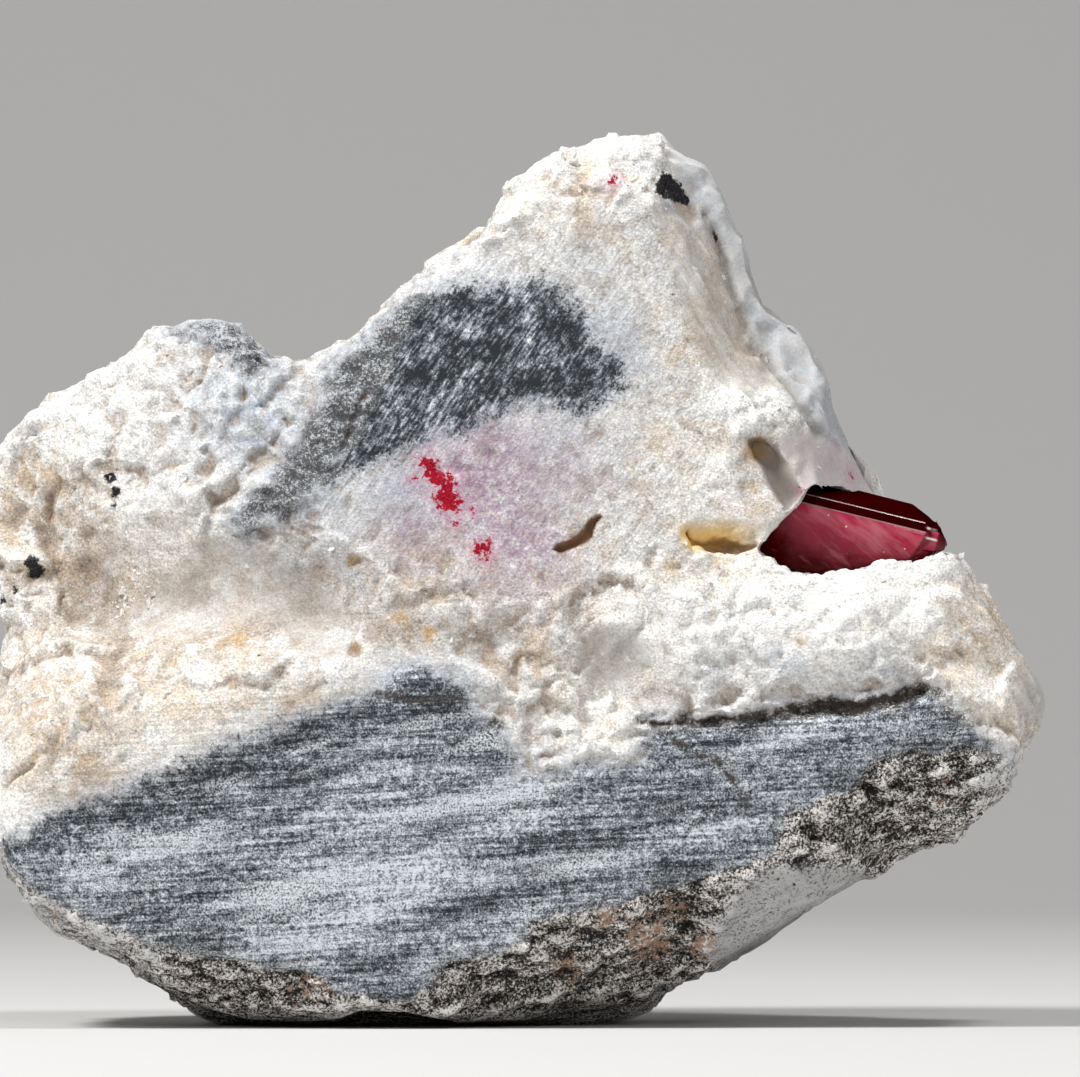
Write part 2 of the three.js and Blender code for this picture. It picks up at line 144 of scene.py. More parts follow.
def scattered(cell, seed):
    """An even random number from 0 to 1 for each whole-numbered cell."""
    x, y, z = (cell[:, axis].astype(np.int64) + 4096 for axis in range(3))
    mixed = (x * 374761393 + y * 668265263 + z * 1440662683 + seed * 974634777).astype(np.uint64)
    mixed &= np.uint64(0xFFFFFFFF)
    for shift, factor in ((15, 2246822519), (13, 3266489917)):
        mixed = ((mixed ^ (mixed >> np.uint64(shift))) * np.uint64(factor)) & np.uint64(0xFFFFFFFF)
    mixed ^= mixed >> np.uint64(16)
    return (mixed / 4294967296.0).astype(np.float32)


def lumps(points, size, seed, octaves=1):
    """Smooth rises and falls, about -1 to 1, as far apart as size, with finer ones on them."""
    total = np.zeros(len(points), np.float32)
    for octave in range(octaves):
        place = points * (2 ** octave / size)
        cell = np.floor(place).astype(np.int64)
        part = place - cell
        part = part * part * (3 - 2 * part)
        for corner in range(8):
            step = np.array([corner & 1, corner >> 1 & 1, corner >> 2 & 1])
            weight = np.prod(np.where(step, part, 1 - part), axis=1)
            total += 0.5 ** octave * weight * (2 * scattered(cell + step, seed + octave) - 1)
    return total


def cleavage(points, size, seed):
    """Blocks about as wide as size. Gives each block's tilted flat top, its height from -1 to 1,
    and how far a point is from the next block."""
    place = points / size
    base = np.floor(place).astype(np.int64)
    nearest = np.full(len(points), 9, np.float32)
    second = nearest.copy()
    tilt = np.zeros(len(points), np.float32)
    height = np.zeros(len(points), np.float32)
    for index in range(27):
        cell = base + np.array([index % 3 - 1, index // 3 % 3 - 1, index // 9 - 1])
        heart = cell + np.stack([scattered(cell, seed + k) for k in range(3)], axis=1)
        away = (place - heart).astype(np.float32)
        distance = np.einsum("ij,ij->i", away, away)
        closer = distance < nearest
        second = np.where(closer, nearest, np.minimum(second, distance))
        nearest = np.where(closer, distance, nearest)
        leaning = np.stack([2 * scattered(cell, seed + 5 + k) - 1 for k in range(3)], axis=1)
        tilt = np.where(closer, np.einsum("ij,ij->i", away, leaning), tilt)
        height = np.where(closer, 2 * scattered(cell, seed + 4) - 1, height)
    return tilt, height, np.sqrt(second) - np.sqrt(nearest)


def grooves(points, angle, along, across, seed):
    """Rises and falls drawn out along lines that rise by angle degrees over the display face."""
    c, s = math.cos(math.radians(angle)), math.sin(math.radians(angle))
    x, y, z = points.T
    drawn = np.stack([(c * x + s * z) / along, y / across, (c * z - s * x) / across], axis=1)
    return lumps(drawn.astype(np.float32), 1, seed, 2)


def about(x, z, at_x, at_z, radius):
    """1 at a place on the display face, fading out over the radius."""
    return np.exp(-((x - at_x) ** 2 + (z - at_z) ** 2) / radius ** 2)


def closeness(line, x, z):
    """Distance from an open line of points."""
    nearest = np.full(len(x), 1e9)
    for (ax, az), (bx, bz) in zip(line, line[1:]):
        length = (bx - ax) ** 2 + (bz - az) ** 2
        share = np.clip(((x - ax) * (bx - ax) + (z - az) * (bz - az)) / length, 0, 1)
        off_x, off_z = x - ax - share * (bx - ax), z - az - share * (bz - az)
        nearest = np.minimum(nearest, np.hypot(off_x, off_z))
    return nearest


def depth_inside(outline, x, z):
    """How far a point lies inside a closed outline; negative outside it."""
    inside = np.zeros(len(x), bool)
    for (ax, az), (bx, bz) in zip(outline, outline[1:] + outline[:1]):
        if az != bz:
            inside ^= ((az > z) != (bz > z)) & (x < ax + (z - az) * (bx - ax) / (bz - az))
    nearest = closeness(outline + outline[:1], x, z)
    return np.where(inside, nearest, -nearest)


def path(*numbers):
    """Points [x, z] on the display face, from numbers given in turn."""
    return list(zip(numbers[::2], numbers[1::2]))


# Outlines on the display face, [x, z]: where the saw's flats are, and what is grey limestone.
LOWER_SAWN = path(
    -31, 10.4, -31.4, 13, -29, 15.4, -25.4, 17.6, -22.4, 19.8, -18, 20.9, -12.9, 20.8, -9, 21,
    -7.4, 22.3, -5.2, 23.2, -3.2, 22.2, -2.2, 20.4, -0.6, 18.2, 0.4, 16.8, 2, 15.6, 5.6, 16.2,
    8, 16.2, 8.4, 18.2, 15.4, 18.7, 21.8, 19.2, 25.8, 20.2, 29.2, 17.4, 26, 17, 22.6, 16.6,
    20.6, 14.4, 17.4, 13.4, 16, 10.6, 8.4, 8.2, 2, 6.8, -0.4, 4.6, -3.8, 4, -6, 1.6, -9.6, 2.2,
    -12.6, 3.6, -20.6, 4.8, -27.6, 7.6)
UPPER_SAWN = path(
    -8.9, 36.6, -7.5, 40.3, -6.3, 42.7, -5.4, 45, -1, 47.4, 1, 49.6, 8, 50.6, 9, 49.8, 10, 46.4,
    11.4, 43.4, 13.8, 38.2, 13.2, 35.4, 11.2, 32, 9, 29.4, 5.4, 27.4, -0.4, 26.8, -5.4, 27.9,
    -9.2, 29.6, -12.4, 31.8, -10.4, 34.3)
LIMESTONE_BELOW = path(
    -40, 10, -30, 11.6, -28.4, 12.9, -25, 13.9, -20.1, 16.1, -13.3, 18.6, -8.6, 20.2, -7, 21.6,
    -5.2, 22.1, -3.8, 21.5, -2.8, 20.3, -0.5, 18, 0.4, 16.6, 0.1, 15.2, 2.2, 15.5, 5, 16.3, 8, 15.8,
    8.6, 18.9, 12.9, 19.1, 16.6, 19.6, 19.3, 20.1, 21.4, 20.05, 23.4, 20.5, 25.6, 21.1, 29.1, 17.6,
    30.6, 16.2, 40, 13, 40, -20, -40, -20)
UPPER_PATCH = path(
    -16.9, 31.1, -15.3, 32.9, -12.7, 36, -11.2, 39, -10.9, 40.8, -9.1, 42.2, -6.6, 44.7, -3.6, 45.2,
    2.2, 45.5, 3.8, 44.5, 5.6, 41.5, 6.9, 40.8, 6.5, 39.4, 4.4, 37.7, 2.8, 38.4, 0.1, 38.4,
    -2, 36.9, -4.8, 36.3, -7.2, 35.1, -10.3, 34.2, -13.3, 31.7, -16.1, 30.2)
LEFT_TIP_PATCH = path(
    -20.9, 42.6, -19.4, 43.8, -17.4, 44.8, -15.6, 42.7, -14, 40.4, -15.7, 39.9, -17, 41.4,
    -18.5, 42.2)
SEAM_LINE = path(
    8.03, 18.77, 11.08, 18.65, 12.97, 18.9, 16.64, 19.32, 19.26, 19.75, 21.34, 19.63, 23.42, 20.18,
    25.49, 20.85)
SEAM_HALVES = (
    [8, 11.1, 13, 16.6, 19.3, 21.3, 23.4, 25.5],
    [0.07, 0.1, 0.13, 0.2, 0.3, 0.36, 0.3, 0.12])  # half the seam's width along x
SHORT_SEAM = path(-8, 20.5, -5.4, 20.1, -2.8, 20.3)
PALE_BREAK = path(
    12.2, 4.6, 14.2, 8.4, 15.8, 9.6, 18.4, 9.8, 21.8, 9.6, 22.6, 8, 18.4, 5.6, 13.6, 3.2)
# The edge between the peak's side wall and its right side.
RIM = path(11.1, 50.4, 12, 49.9, 12.9, 48.2, 13.8, 45.2, 15.2, 41.8, 16.9, 39.3)
SIDE_WALL = path(
    8.9, 50.3, 9.9, 46.3, 10.8, 43.4, 11.7, 41.1, 12.6, 39.8, 14.4, 38.9) + RIM[::-1]
PEAK_RIM = path(10.2, 52) + RIM + path(
    19.3, 36.4, 22, 33.9, 26, 34, 24, 42, 18, 48, 14, 53, 9.6, 54.6)
RIM_GROOVE = RIM[1:-1] + path(16.9, 39.7, 19.3, 36.4)
# Round the crystal: the front stone's free edge, the glassy wall sunk behind it, the mass above
# the crystal, and the undercut at its left with the wedge that hides the crystal's root.
FRONT_EDGE = path(14.6, 35.9, 14.9, 34.9, 15.5, 34.3, 15.7, 33.7, 16.1, 32.9, 16.5, 32.3, 17, 31.5)
GREY_WALL = FRONT_EDGE + path(
    17.6, 32.2, 18.2, 32.6, 17.7, 33.6, 17.6, 34.2, 17.2, 34.7, 16.2, 35.3, 15.8, 36, 15.1, 36.2)
BROW = path(
    16, 36, 17.8, 36.6, 20.1, 36, 22.1, 34.2, 23.7, 32.2, 22.1, 32.4, 18.9, 32.8, 18.2, 32.4,
    17.7, 33.6, 17.6, 34.2, 17.2, 34.7, 16.2, 35.3)
UNDERCUT = path(
    10.5, 30.7, 11.4, 31.5, 13.2, 31.6, 15, 31.4, 16.6, 31.6, 17, 31.4, 14.9, 29.2, 14.2, 29.4,
    13.1, 29.6, 12, 29.5, 11.2, 29.3, 10.7, 29.8)
VALLEY = path(
    -23.1, 26.2, -18.8, 29.9, -15.2, 29.6, -10.9, 26.8, -9.1, 23.2, -10.9, 22.3, -15.2, 25,
    -19.5, 23.8, -21.9, 23.8, -24.3, 24.7)
TAN_BLOCK = path(4.1, 24.4, 8, 24.5, 8.9, 22.6, 6.8, 20.7, 4.4, 21.3)
RIGHT_BULGE = path(31.3, 22.4, 34, 21.6, 34, 19, 31.8, 18.7, 30.9, 20.1)
WHITE_BAND = path(
    6, 20.5, 8, 25, 9.6, 28.2, 14.6, 28.6, 18.6, 27.4, 24, 28.4, 28.4, 28.8, 28.6, 25, 27.4, 22.4,
    18, 20.8, 9, 19.4)
RIGHT_FACET = path(26, 26.6, 28.6, 28.4, 33.4, 22, 33.6, 18.6, 31.2, 16.6, 26.4, 21.4)
CRACKS = [path(-8.9, 38.8, -9.5, 37.2, -10.2, 35.6), path(12.6, 16.6, 13.6, 15.4, 14.6, 13.6),
          path(10.2, 17.6, 11.2, 16.8, 12.4, 16.6)]
FOOT_RIM = path(
    -22, 2.6, -19, 1.3, -15.9, 0.5, -13, 0.35, -10.6, 0.5, -9, 1.1, -6.2, 1, -3, 0.3, 0.9, 0.4,
    4, 1.2, 8.4, 1.6, 12, 3.2)
LIP = path(
    11.4, 29.3, 12, 29.5, 13, 29.7, 13.7, 29.6, 14.4, 29.3, 14.9, 29.2, 15.5, 28.9, 16.5, 28.5,
    17.2, 28.2, 18.1, 28.1, 19.1, 27.8, 19.8, 28.1, 20.9, 28.2, 21.5, 28.5, 22.5, 28.8, 23.6, 28.9,
    24.5, 29, 25.7, 29.2, 26.5, 29.4, 27.3, 29.2)
SLOT = path(
    2.65, 29.4, 2.9, 29.64, 3.39, 29.77, 3.87, 30.01, 4.24, 30.25, 4.61, 30.62, 4.85, 31.11,
    5.22, 31.35, 5.58, 31.48, 5.77, 31.23, 5.46, 30.99, 5.22, 30.5, 5.1, 30.01, 4.73, 29.71,
    4.36, 29.58, 4, 29.4, 3.51, 29.22, 3.2, 29.03, 2.9, 29.16)
CLEFT = path(-26.2, 28.7, -24.6, 26.8, -23.8, 23.8, -24.6, 21.3, -25.9, 19.5)
# Pits in the dolomite: (x, z, radius).
PITS = (
    (-9.5, 28.6, 0.55), (-9.4, 23.2, 0.5), (-16.4, 38.6, 0.5), (13.2, 27.7, 0.4), (10.4, 28.2, 0.3),
    (16.7, 27.4, 0.35), (-6.4, 30.6, 0.25), (7.2, 33.2, 0.25), (-1.2, 24.6, 0.3), (9.8, 40.6, 0.25))
# Clear cleavage faces and etched hollows, and how smooth and glassy each is.
GLASSY = (
    (GREY_WALL, 1), (BROW, 0.7), (UNDERCUT, 0.5), (PEAK_RIM, 0.8), (SIDE_WALL, 0.6),
    (VALLEY, 0.45), (TAN_BLOCK, 0.6), (RIGHT_BULGE, 0.7), (PALE_BREAK, 0.9))



def lower_cut(x, z):
    return -14.7 - 0.02 * z + 0.01 * x


def upper_cut(x, z):
    return -15.6 + 0.26 * (z - 22) - 0.05 * x


def limestone_depth(points):
    """How far inside the grey limestone a point lies; negative in the dolomite. The lower layer
    runs right through the stone, the two pieces above it on the face are a few millimetres thick,
    and a thin streak drifts over the back."""
    x, y, z = points.T
    back = np.clip(y + 14, 0, None)
    layer = depth_inside(LIMESTONE_BELOW, np.clip(x, -33, 33), z + 0.16 * back)
    patch = depth_inside(UPPER_PATCH, x, z) - 0.55 * np.clip(y + 9, 0, None)
    tip = depth_inside(LEFT_TIP_PATCH, x, z) - 0.2 * np.clip(y + 1, 0, None)
    drift = 3 * lumps(points, 6, 511, 3)
    streak = 2.1 - np.abs(z - 31 - 0.3 * (x - 6) + drift)
    streak = np.minimum.reduce([streak, 0.25 * (13 - np.abs(x - 6)), y - 5])
    return np.maximum.reduce([layer, patch, tip, streak])


def sawn_share(points):
    """1 where the saw's flat is left whole, 0 where the stone is broken: (lower, upper)."""
    x, y, z = points.T
    ragged = 0.35 * lumps(points, 1.3, 11, 2)
    shares = []
    for outline, cut in ((LOWER_SAWN, lower_cut), (UPPER_SAWN, upper_cut)):
        on_plane = ramp(1.3, 0.6, np.abs(y - cut(x, z)))
        shares.append(on_plane * ramp(-0.6, 0.5, depth_inside(outline, x, z) + ragged))
    return shares


def glassiness(x, y, z):
    """How smooth and glassy the dolomite is, from 0 to 1."""
    most = np.zeros(len(x))
    for outline, strength in GLASSY:
        most = np.maximum(most, strength * ramp(-0.4, 0.5, depth_inside(outline, x, z)))
    return most * ((y < -0.5) | (depth_inside(PEAK_RIM, x, z) > 0) * (y < 5))


def domes(gap):
    """Rounded tops of the blocks of cleavage()."""
    return 1 - (1 - np.clip(gap / 0.6, 0, 1)) ** 2


def within(outline, low, high):
    """0 to 1 for the stone's points, from one depth inside an outline to another."""
    return ramp(low, high, depth_inside(outline, x, z))


def near(line, far, close):
    """0 to 1 for the stone's points, from one distance from a line to another."""
    return ramp(far, close, closeness(line, x, z))


def off_seam():
    """How far the stone's points are from the seam; negative inside it."""
    return closeness(SEAM_LINE, x, z) - np.interp(x, *SEAM_HALVES)


def moved(*places):
    """Puts the stone's points at the new places. Gives them and the way each one faces."""
    points = np.stack(places, axis=1).astype(np.float32)
    set_points(stone_mesh, points)
    return points, normals_of(stone_mesh)


def voxels(step):
    """The modifier that makes one even skin, for shaped()."""
    return "REMESH", dict(mode="VOXEL", voxel_size=step)


stone_mesh = shaped(mesh_of_node("matrix"), "stone", voxels(SURFACE_STEP))
points = points_of(stone_mesh)
edges = edges_of(stone_mesh)
x, y, z = points.T

# The broken faces lose the flat facets of the plain solid, but the pocket stays crisp.
crisp = np.hypot(np.clip(np.abs(x - 18.6) - 9, 0, None), np.clip(np.abs(z - 31.4) - 4.2, 0, None))
crisp = np.where(y < -3, np.minimum(crisp, np.hypot(x - 4.2, z - 30.3) - 2.2), 9)
rim = np.maximum.reduce([within(PEAK_RIM, 0, 1), 0.7 * ramp(47.5, 51.5, z),
                         0.8 * about(x, z, -18.6, 43.2, 3.2)])
points = evened(points, edges, 50, ramp(0, 0.8, crisp) * (1 - 0.93 * rim))
soft = np.maximum(about(x, z, -17.6, 31.5, 6), about(x, z, 3, 23, 6.5) * (z > 16.5))
points = evened(points, edges, 90, soft * (y < -4))
points = evened(points, edges, 2).astype(np.float32)
x, y, z = points.T

# The wall beside the crystal lies a millimetre behind the front stone's edge, the undercut below
# it deepens to the left, and the mass above comes down to the crystal's top.
sunk = within(GREY_WALL, 0, 0.2) * near(FRONT_EDGE, 2.2, 1) * (y < -8.5)
wall = -12.7 + 0.233 * (x - 15) + 0.4 * (z - 33) + 1.25 * near(FRONT_EDGE, 2.6, 0.2)
y = (1 - sunk) * y + sunk * wall
sunk = within(UNDERCUT, 0, 0.5) * (y < -9.5)
drop = np.clip(31.6 - z, 0, 2.4)
wall = -13.6 + 0.1 * (x - 12) + drop ** 2 * (0.04 + 0.14 * ramp(15, 12, x))
y = (1 - sunk) * y + sunk * wall
brow = ramp(18.7, 19.8, x) * ramp(25.4, 24.4, x) * ramp(32.2, 33, z) * ramp(36.2, 34.2, z)
z = z - 0.85 * brow * (y < -2.5) + 0.5 * about(x, z, 18.75, 32.5, 0.7) * (y < -8)
y = y + 1.1 * about(x, z, -33.4, 24.4, 1.9) * (y < 0) * (x < -28)
near_seam = near(SEAM_LINE, 1.5, 0.9) * (y < -9)
y = y + near_seam * (np.minimum(y, lower_cut(x, z) + 0.3) - y)
y = y + about(x, z, -28.8, 16.4, 2.6) * (y < -6) * (np.minimum(y, -14.2) - y)
points, outward = moved(x, y, z)
x, y, z = points.T

# The peak's right side is two flat cleavage plates, the lower one standing out a little.
on_rim = within(PEAK_RIM, 0, 0.7) * ramp(0.1, 0.3, -outward[:, 1]) * (y < 6)
for share in (ramp(43.8, 42.6, z), ramp(42.6, 43.8, z)):
    chosen = (on_rim * share) > 0.8
    ground = np.stack([x, z, np.ones(len(x))], axis=1)
    plane = ground @ np.linalg.lstsq(ground[chosen], y[chosen], rcond=None)[0]
    y = y + 0.85 * on_rim * share * np.clip(plane - y, -1.2, 1.2)
points, outward = moved(x, y, z)
x, y, z = points.T

lower_share, upper_share = sawn_share(points)
sawn = np.maximum(lower_share, upper_share)
grey = limestone_depth(points)
dolomite = ramp(0.5, -0.5, grey + 0.8 * lumps(points, 1.8, 31, 2))

# Dolomite breaks into blocks and rhombs, limestone into a fine hackly surface.
bent = points + 1.3 * np.stack([lumps(points, 3, 471 + axis, 2) for axis in range(3)], axis=1)
wide_tilt, wide_height, wide_gap = cleavage(bent, WIDE_BLOCK, 101)
tilt, height, gap = cleavage(0.6 * points + 0.4 * bent + 0.3 * outward, BLOCK, 201)
fine_tilt, fine_height, _ = cleavage(points, FINE_BLOCK, 301)
wide_tilt *= 0.38 + 0.62 * ramp(0, 0.22, wide_gap)
blocks = 1.15 * wide_tilt + 0.18 * wide_height + 0.36 * tilt + 0.07 * height
blocks += 0.22 * fine_tilt + 0.03 * fine_height + 0.3 * lumps(points, 5, 401, 2)
flaked = points @ np.array([[0.42, 0, 0.15], [0, 0.8, 0], [-0.34, 0, 0.94]], np.float32)
flake_tilt, flake_height, _ = cleavage(flaked, FLAKE, 501)
hackly = 0.42 * lumps(points, 3.4, 411, 4) + 0.45 * wide_tilt + 0.36 * flake_tilt
hackly += 0.12 * flake_height
hackly -= 0.22 * np.abs(lumps(flaked, 1.2, 421, 2))
_, cobble_height, cobble_gap = cleavage(points, COBBLE, 601)
behind = ramp(-6, 2, y)
blocks *= 1 - 0.45 * behind * (0.5 + 0.5 * np.clip(lumps(points, 6, 481), -1, 1))
blocks += behind * 1.1 * (0.35 - np.abs(lumps(points, 7, 461, 2)))
relief = dolomite * blocks * (0.85 - 0.12 * behind) + (1 - dolomite) * hackly * (1 + 0.2 * behind)

# The soft hollow at the left is etched smooth, the crystal's surroundings are nearly so, and the
# peak's right side and the right-hand facet are combed by steps of cleavage.
hollow = near(path(-23, 27.2, -18, 26.2, -12, 25.4, -7.4, 23.2), 6.5, 2) * (y < 0)
relief *= 1 - 0.7 * hollow
in_pocket = ramp(0.9, 0, crisp) * (z > 26.5) * (x > 9)
relief *= 1 - 0.7 * in_pocket
relief *= 1 - 0.8 * glassiness(x, y, z)
relief *= 1 - 0.55 * within(UPPER_PATCH, -0.2, 0.6) * (y < -4)
on_lip = near(LIP, 1.5, 0.5) * (y < -7)
relief += on_lip * (0.26 * domes(cobble_gap) + 0.06 * cobble_height - 0.15)
in_band = within(WHITE_BAND, 0, 1.6) * (y < -6) * (1 - on_lip)
cobbled = 0.12 * domes(gap) + 0.06 * domes(cobble_gap) - 0.1
relief = relief * (1 - 0.35 * in_band) + in_band * cobbled
side_wall = within(SIDE_WALL, 0.2, 1) * (y < 0)
right_facet = within(RIGHT_FACET, 0.2, 1.2) * (y < 2)
relief = relief * (1 - 0.75 * side_wall) + side_wall * 0.3 * grooves(points, -54, 6, 0.8, 431)
relief = relief * (1 - 0.5 * right_facet) + right_facet * 0.34 * grooves(points, -50, 5, 0.7, 441)
relief *= 1 - 0.7 * about(x, z, -31.5, 16.5, 4) * (y < 0)
left_lump = about(x, z, -29, 20.5, 6) * (y < 0)
relief += left_lump * 0.18 * grooves(points, 58, 5, 0.8, 451)
for at_x, at_z, radius in PITS:
    pit = ramp(radius, 0.2 * radius, np.hypot(x - at_x, z - at_z) + 0.15 * lumps(points, 0.6, 57))
    relief -= 0.75 * radius * pit * (y < -3)
relief -= SLOT_DEPTH * within(SLOT, -0.1, 0.2) * (y < -3)
relief -= GROOVE_DEPTH * near(SHORT_SEAM, 0.5, 0.1) * (y < -3)
ragged_seam = off_seam() + 0.3 * lumps(points, 0.9, 71, 2)
relief -= SEAM_DEPTH * ramp(0.3, -0.1, ragged_seam) * (y < -3)
relief -= GROOVE_DEPTH * near(RIM_GROOVE, 0.3, 0.05) * (y < 1)
for crack in CRACKS:
    off_crack = closeness(crack, x, z) + 0.1 * lumps(points, 0.8, 67)
    relief -= 0.22 * ramp(0.28, 0.05, off_crack) * (y < -3)
standing = ramp(0.15, 1.6, z)
chips = 0.3 * np.clip(lumps(points, 1.1, 61, 2) - 0.62, 0, None) + 0.03 * lumps(points, 0.5, 63)
chips += 0.5 * within(SLOT, 0, 0.2)
points += outward * (relief * (1 - sawn) * standing - chips * sawn)[:, None]
points = evened(points, edges, 2, (0.42 + 0.25 * behind) * (1 - sawn))

# No grain of a sawn flat stands out of the saw's plane. The foot is flat, and its front rim
# curls up a little.
x, y, z = points.T
for share, cut in ((lower_share, lower_cut), (upper_share, upper_cut)):
    plane = cut(x, z)
    y = np.where(share > 0.02, (1 - share) * y + share * np.maximum(y, plane), y)
z = np.where(z < 0.12, 0, z)
rim_x, rim_z = zip(*FOOT_RIM)
z = np.maximum(z, np.interp(x, rim_x, rim_z) * ramp(-5.5, -9.5, y))
set_points(stone_mesh, np.stack([x, y, z], axis=1))

# Fewer points on the back than on the face.
back_share = np.round(np.clip(0.12 + ramp(-7, -1, y), 0, 1), 1)
share_left = MOST_TRIANGLES / sum(len(polygon.vertices) - 2 for polygon in stone_mesh.polygons)
fewer = dict(ratio=min(1, share_left), vertex_group="back", vertex_group_factor=1)
stone_mesh = shaped(
    stone_mesh, "stone", ("TRIANGULATE", {}), ("DECIMATE", fewer), group=("back", back_share))

# What the surface is made of, point by point, for the colours.
points = points_of(stone_mesh)
edges = edges_of(stone_mesh)
x, y, z = points.T
facing = y < -2


def patches(*spots):
    """Soft round patches on the face, each (x, z, radius, strength); the strongest counts."""
    most = np.zeros(len(x))
    for at_x, at_z, radius, strength in spots:
        most = np.maximum(most, strength * about(x, z, at_x, at_z, radius))
    return most * facing


def inmost(outlines, *spots):
    """How far inside the nearest of some outlines and round spots (x, z, radius) a point is."""
    depths = [depth_inside(outline, x, z) for outline in outlines]
    depths += [radius - np.hypot(x - at_x, z - at_z) for at_x, at_z, radius in spots]
    return np.maximum.reduce(depths)


lower_share, upper_share = sawn_share(points)
# cavity and hollow: how far each point lies in a small and in a broad dip; the colours darken there
# as painted shade.
round_about = evened(points, edges, 14)
wide_about = evened(round_about, edges, 60)
outward = normals_of(stone_mesh)
cavity = np.einsum("ij,ij->i", round_about - points, outward) / 0.1
hollow = np.einsum("ij,ij->i", wide_about - round_about, outward) / 0.35
red = inmost(
    [path(-5.5, 35, -4.7, 35.2, -4.1, 34.2, -3.3, 33.6, -2.8, 32.3, -3.2, 31.5, -4.2, 31.6,
          -4.6, 32.4, -4.4, 33.1, -5.3, 33.9),
     path(-2.1, 29.7, -1.1, 29.9, -0.9, 29.3, -1.6, 28.7, -2.2, 29.1)],
    (6.3, 52, 0.28), (17.8, 33, 0.05), (21.1, 33.9, 0.06), (-3.3, 30.9, 0.14), (-2.3, 31.7, 0.12),
    (-5.9, 33.6, 0.12))
black = inmost(
    [path(9.43, 52.61, 9.98, 52.49, 10.59, 51.87, 11.08, 51.14, 11.2, 50.59, 10.84, 50.47,
          10.23, 50.71, 9.37, 50.9, 9, 51.26, 8.94, 51.75, 9.19, 52.24),
     path(12.49, 49.06, 12.79, 48.88, 13.04, 48.33, 12.85, 48.15, 12.55, 48.52)],
    (-24.5, 33.7, 0.42), (-24.2, 32.8, 0.36), (-24.3, 32, 0.22), (-29.4, 28.5, 0.5),
    (-28.9, 28, 0.4), (-29.3, 27.8, 0.35), (-30.4, 26.8, 0.25), (-29.9, 27.1, 0.15),
    (-31.2, 26.2, 0.3), (10.1, 44.9, 0.16), (-15.6, 22.6, 0.12), (-15.2, 22.9, 0.1))
cracked = np.min([closeness(crack, x, z) for crack in CRACKS], axis=0)
seam = np.minimum(off_seam(), closeness(SHORT_SEAM, x, z) - 0.14)
uneven = 1.15 * np.clip(0.8 + 0.6 * lumps(points * (0.6, 1, 1.3), 1.5, 491, 4), 0, 1.25)


def drawn_out(*spots):
    """Patches (x, z, width, strength) like those of patches(), but four times as long as wide,
    and rising by 14 degrees to the right."""
    c, s = math.cos(math.radians(14)), math.sin(math.radians(14))
    most = np.zeros(len(x))
    for at_x, at_z, width, strength in spots:
        along, across = c * (x - at_x) + s * (z - at_z), c * (z - at_z) - s * (x - at_x)
        most = np.maximum(most, strength * np.exp(-((along / 4) ** 2 + across ** 2) / width ** 2))
    return most * facing


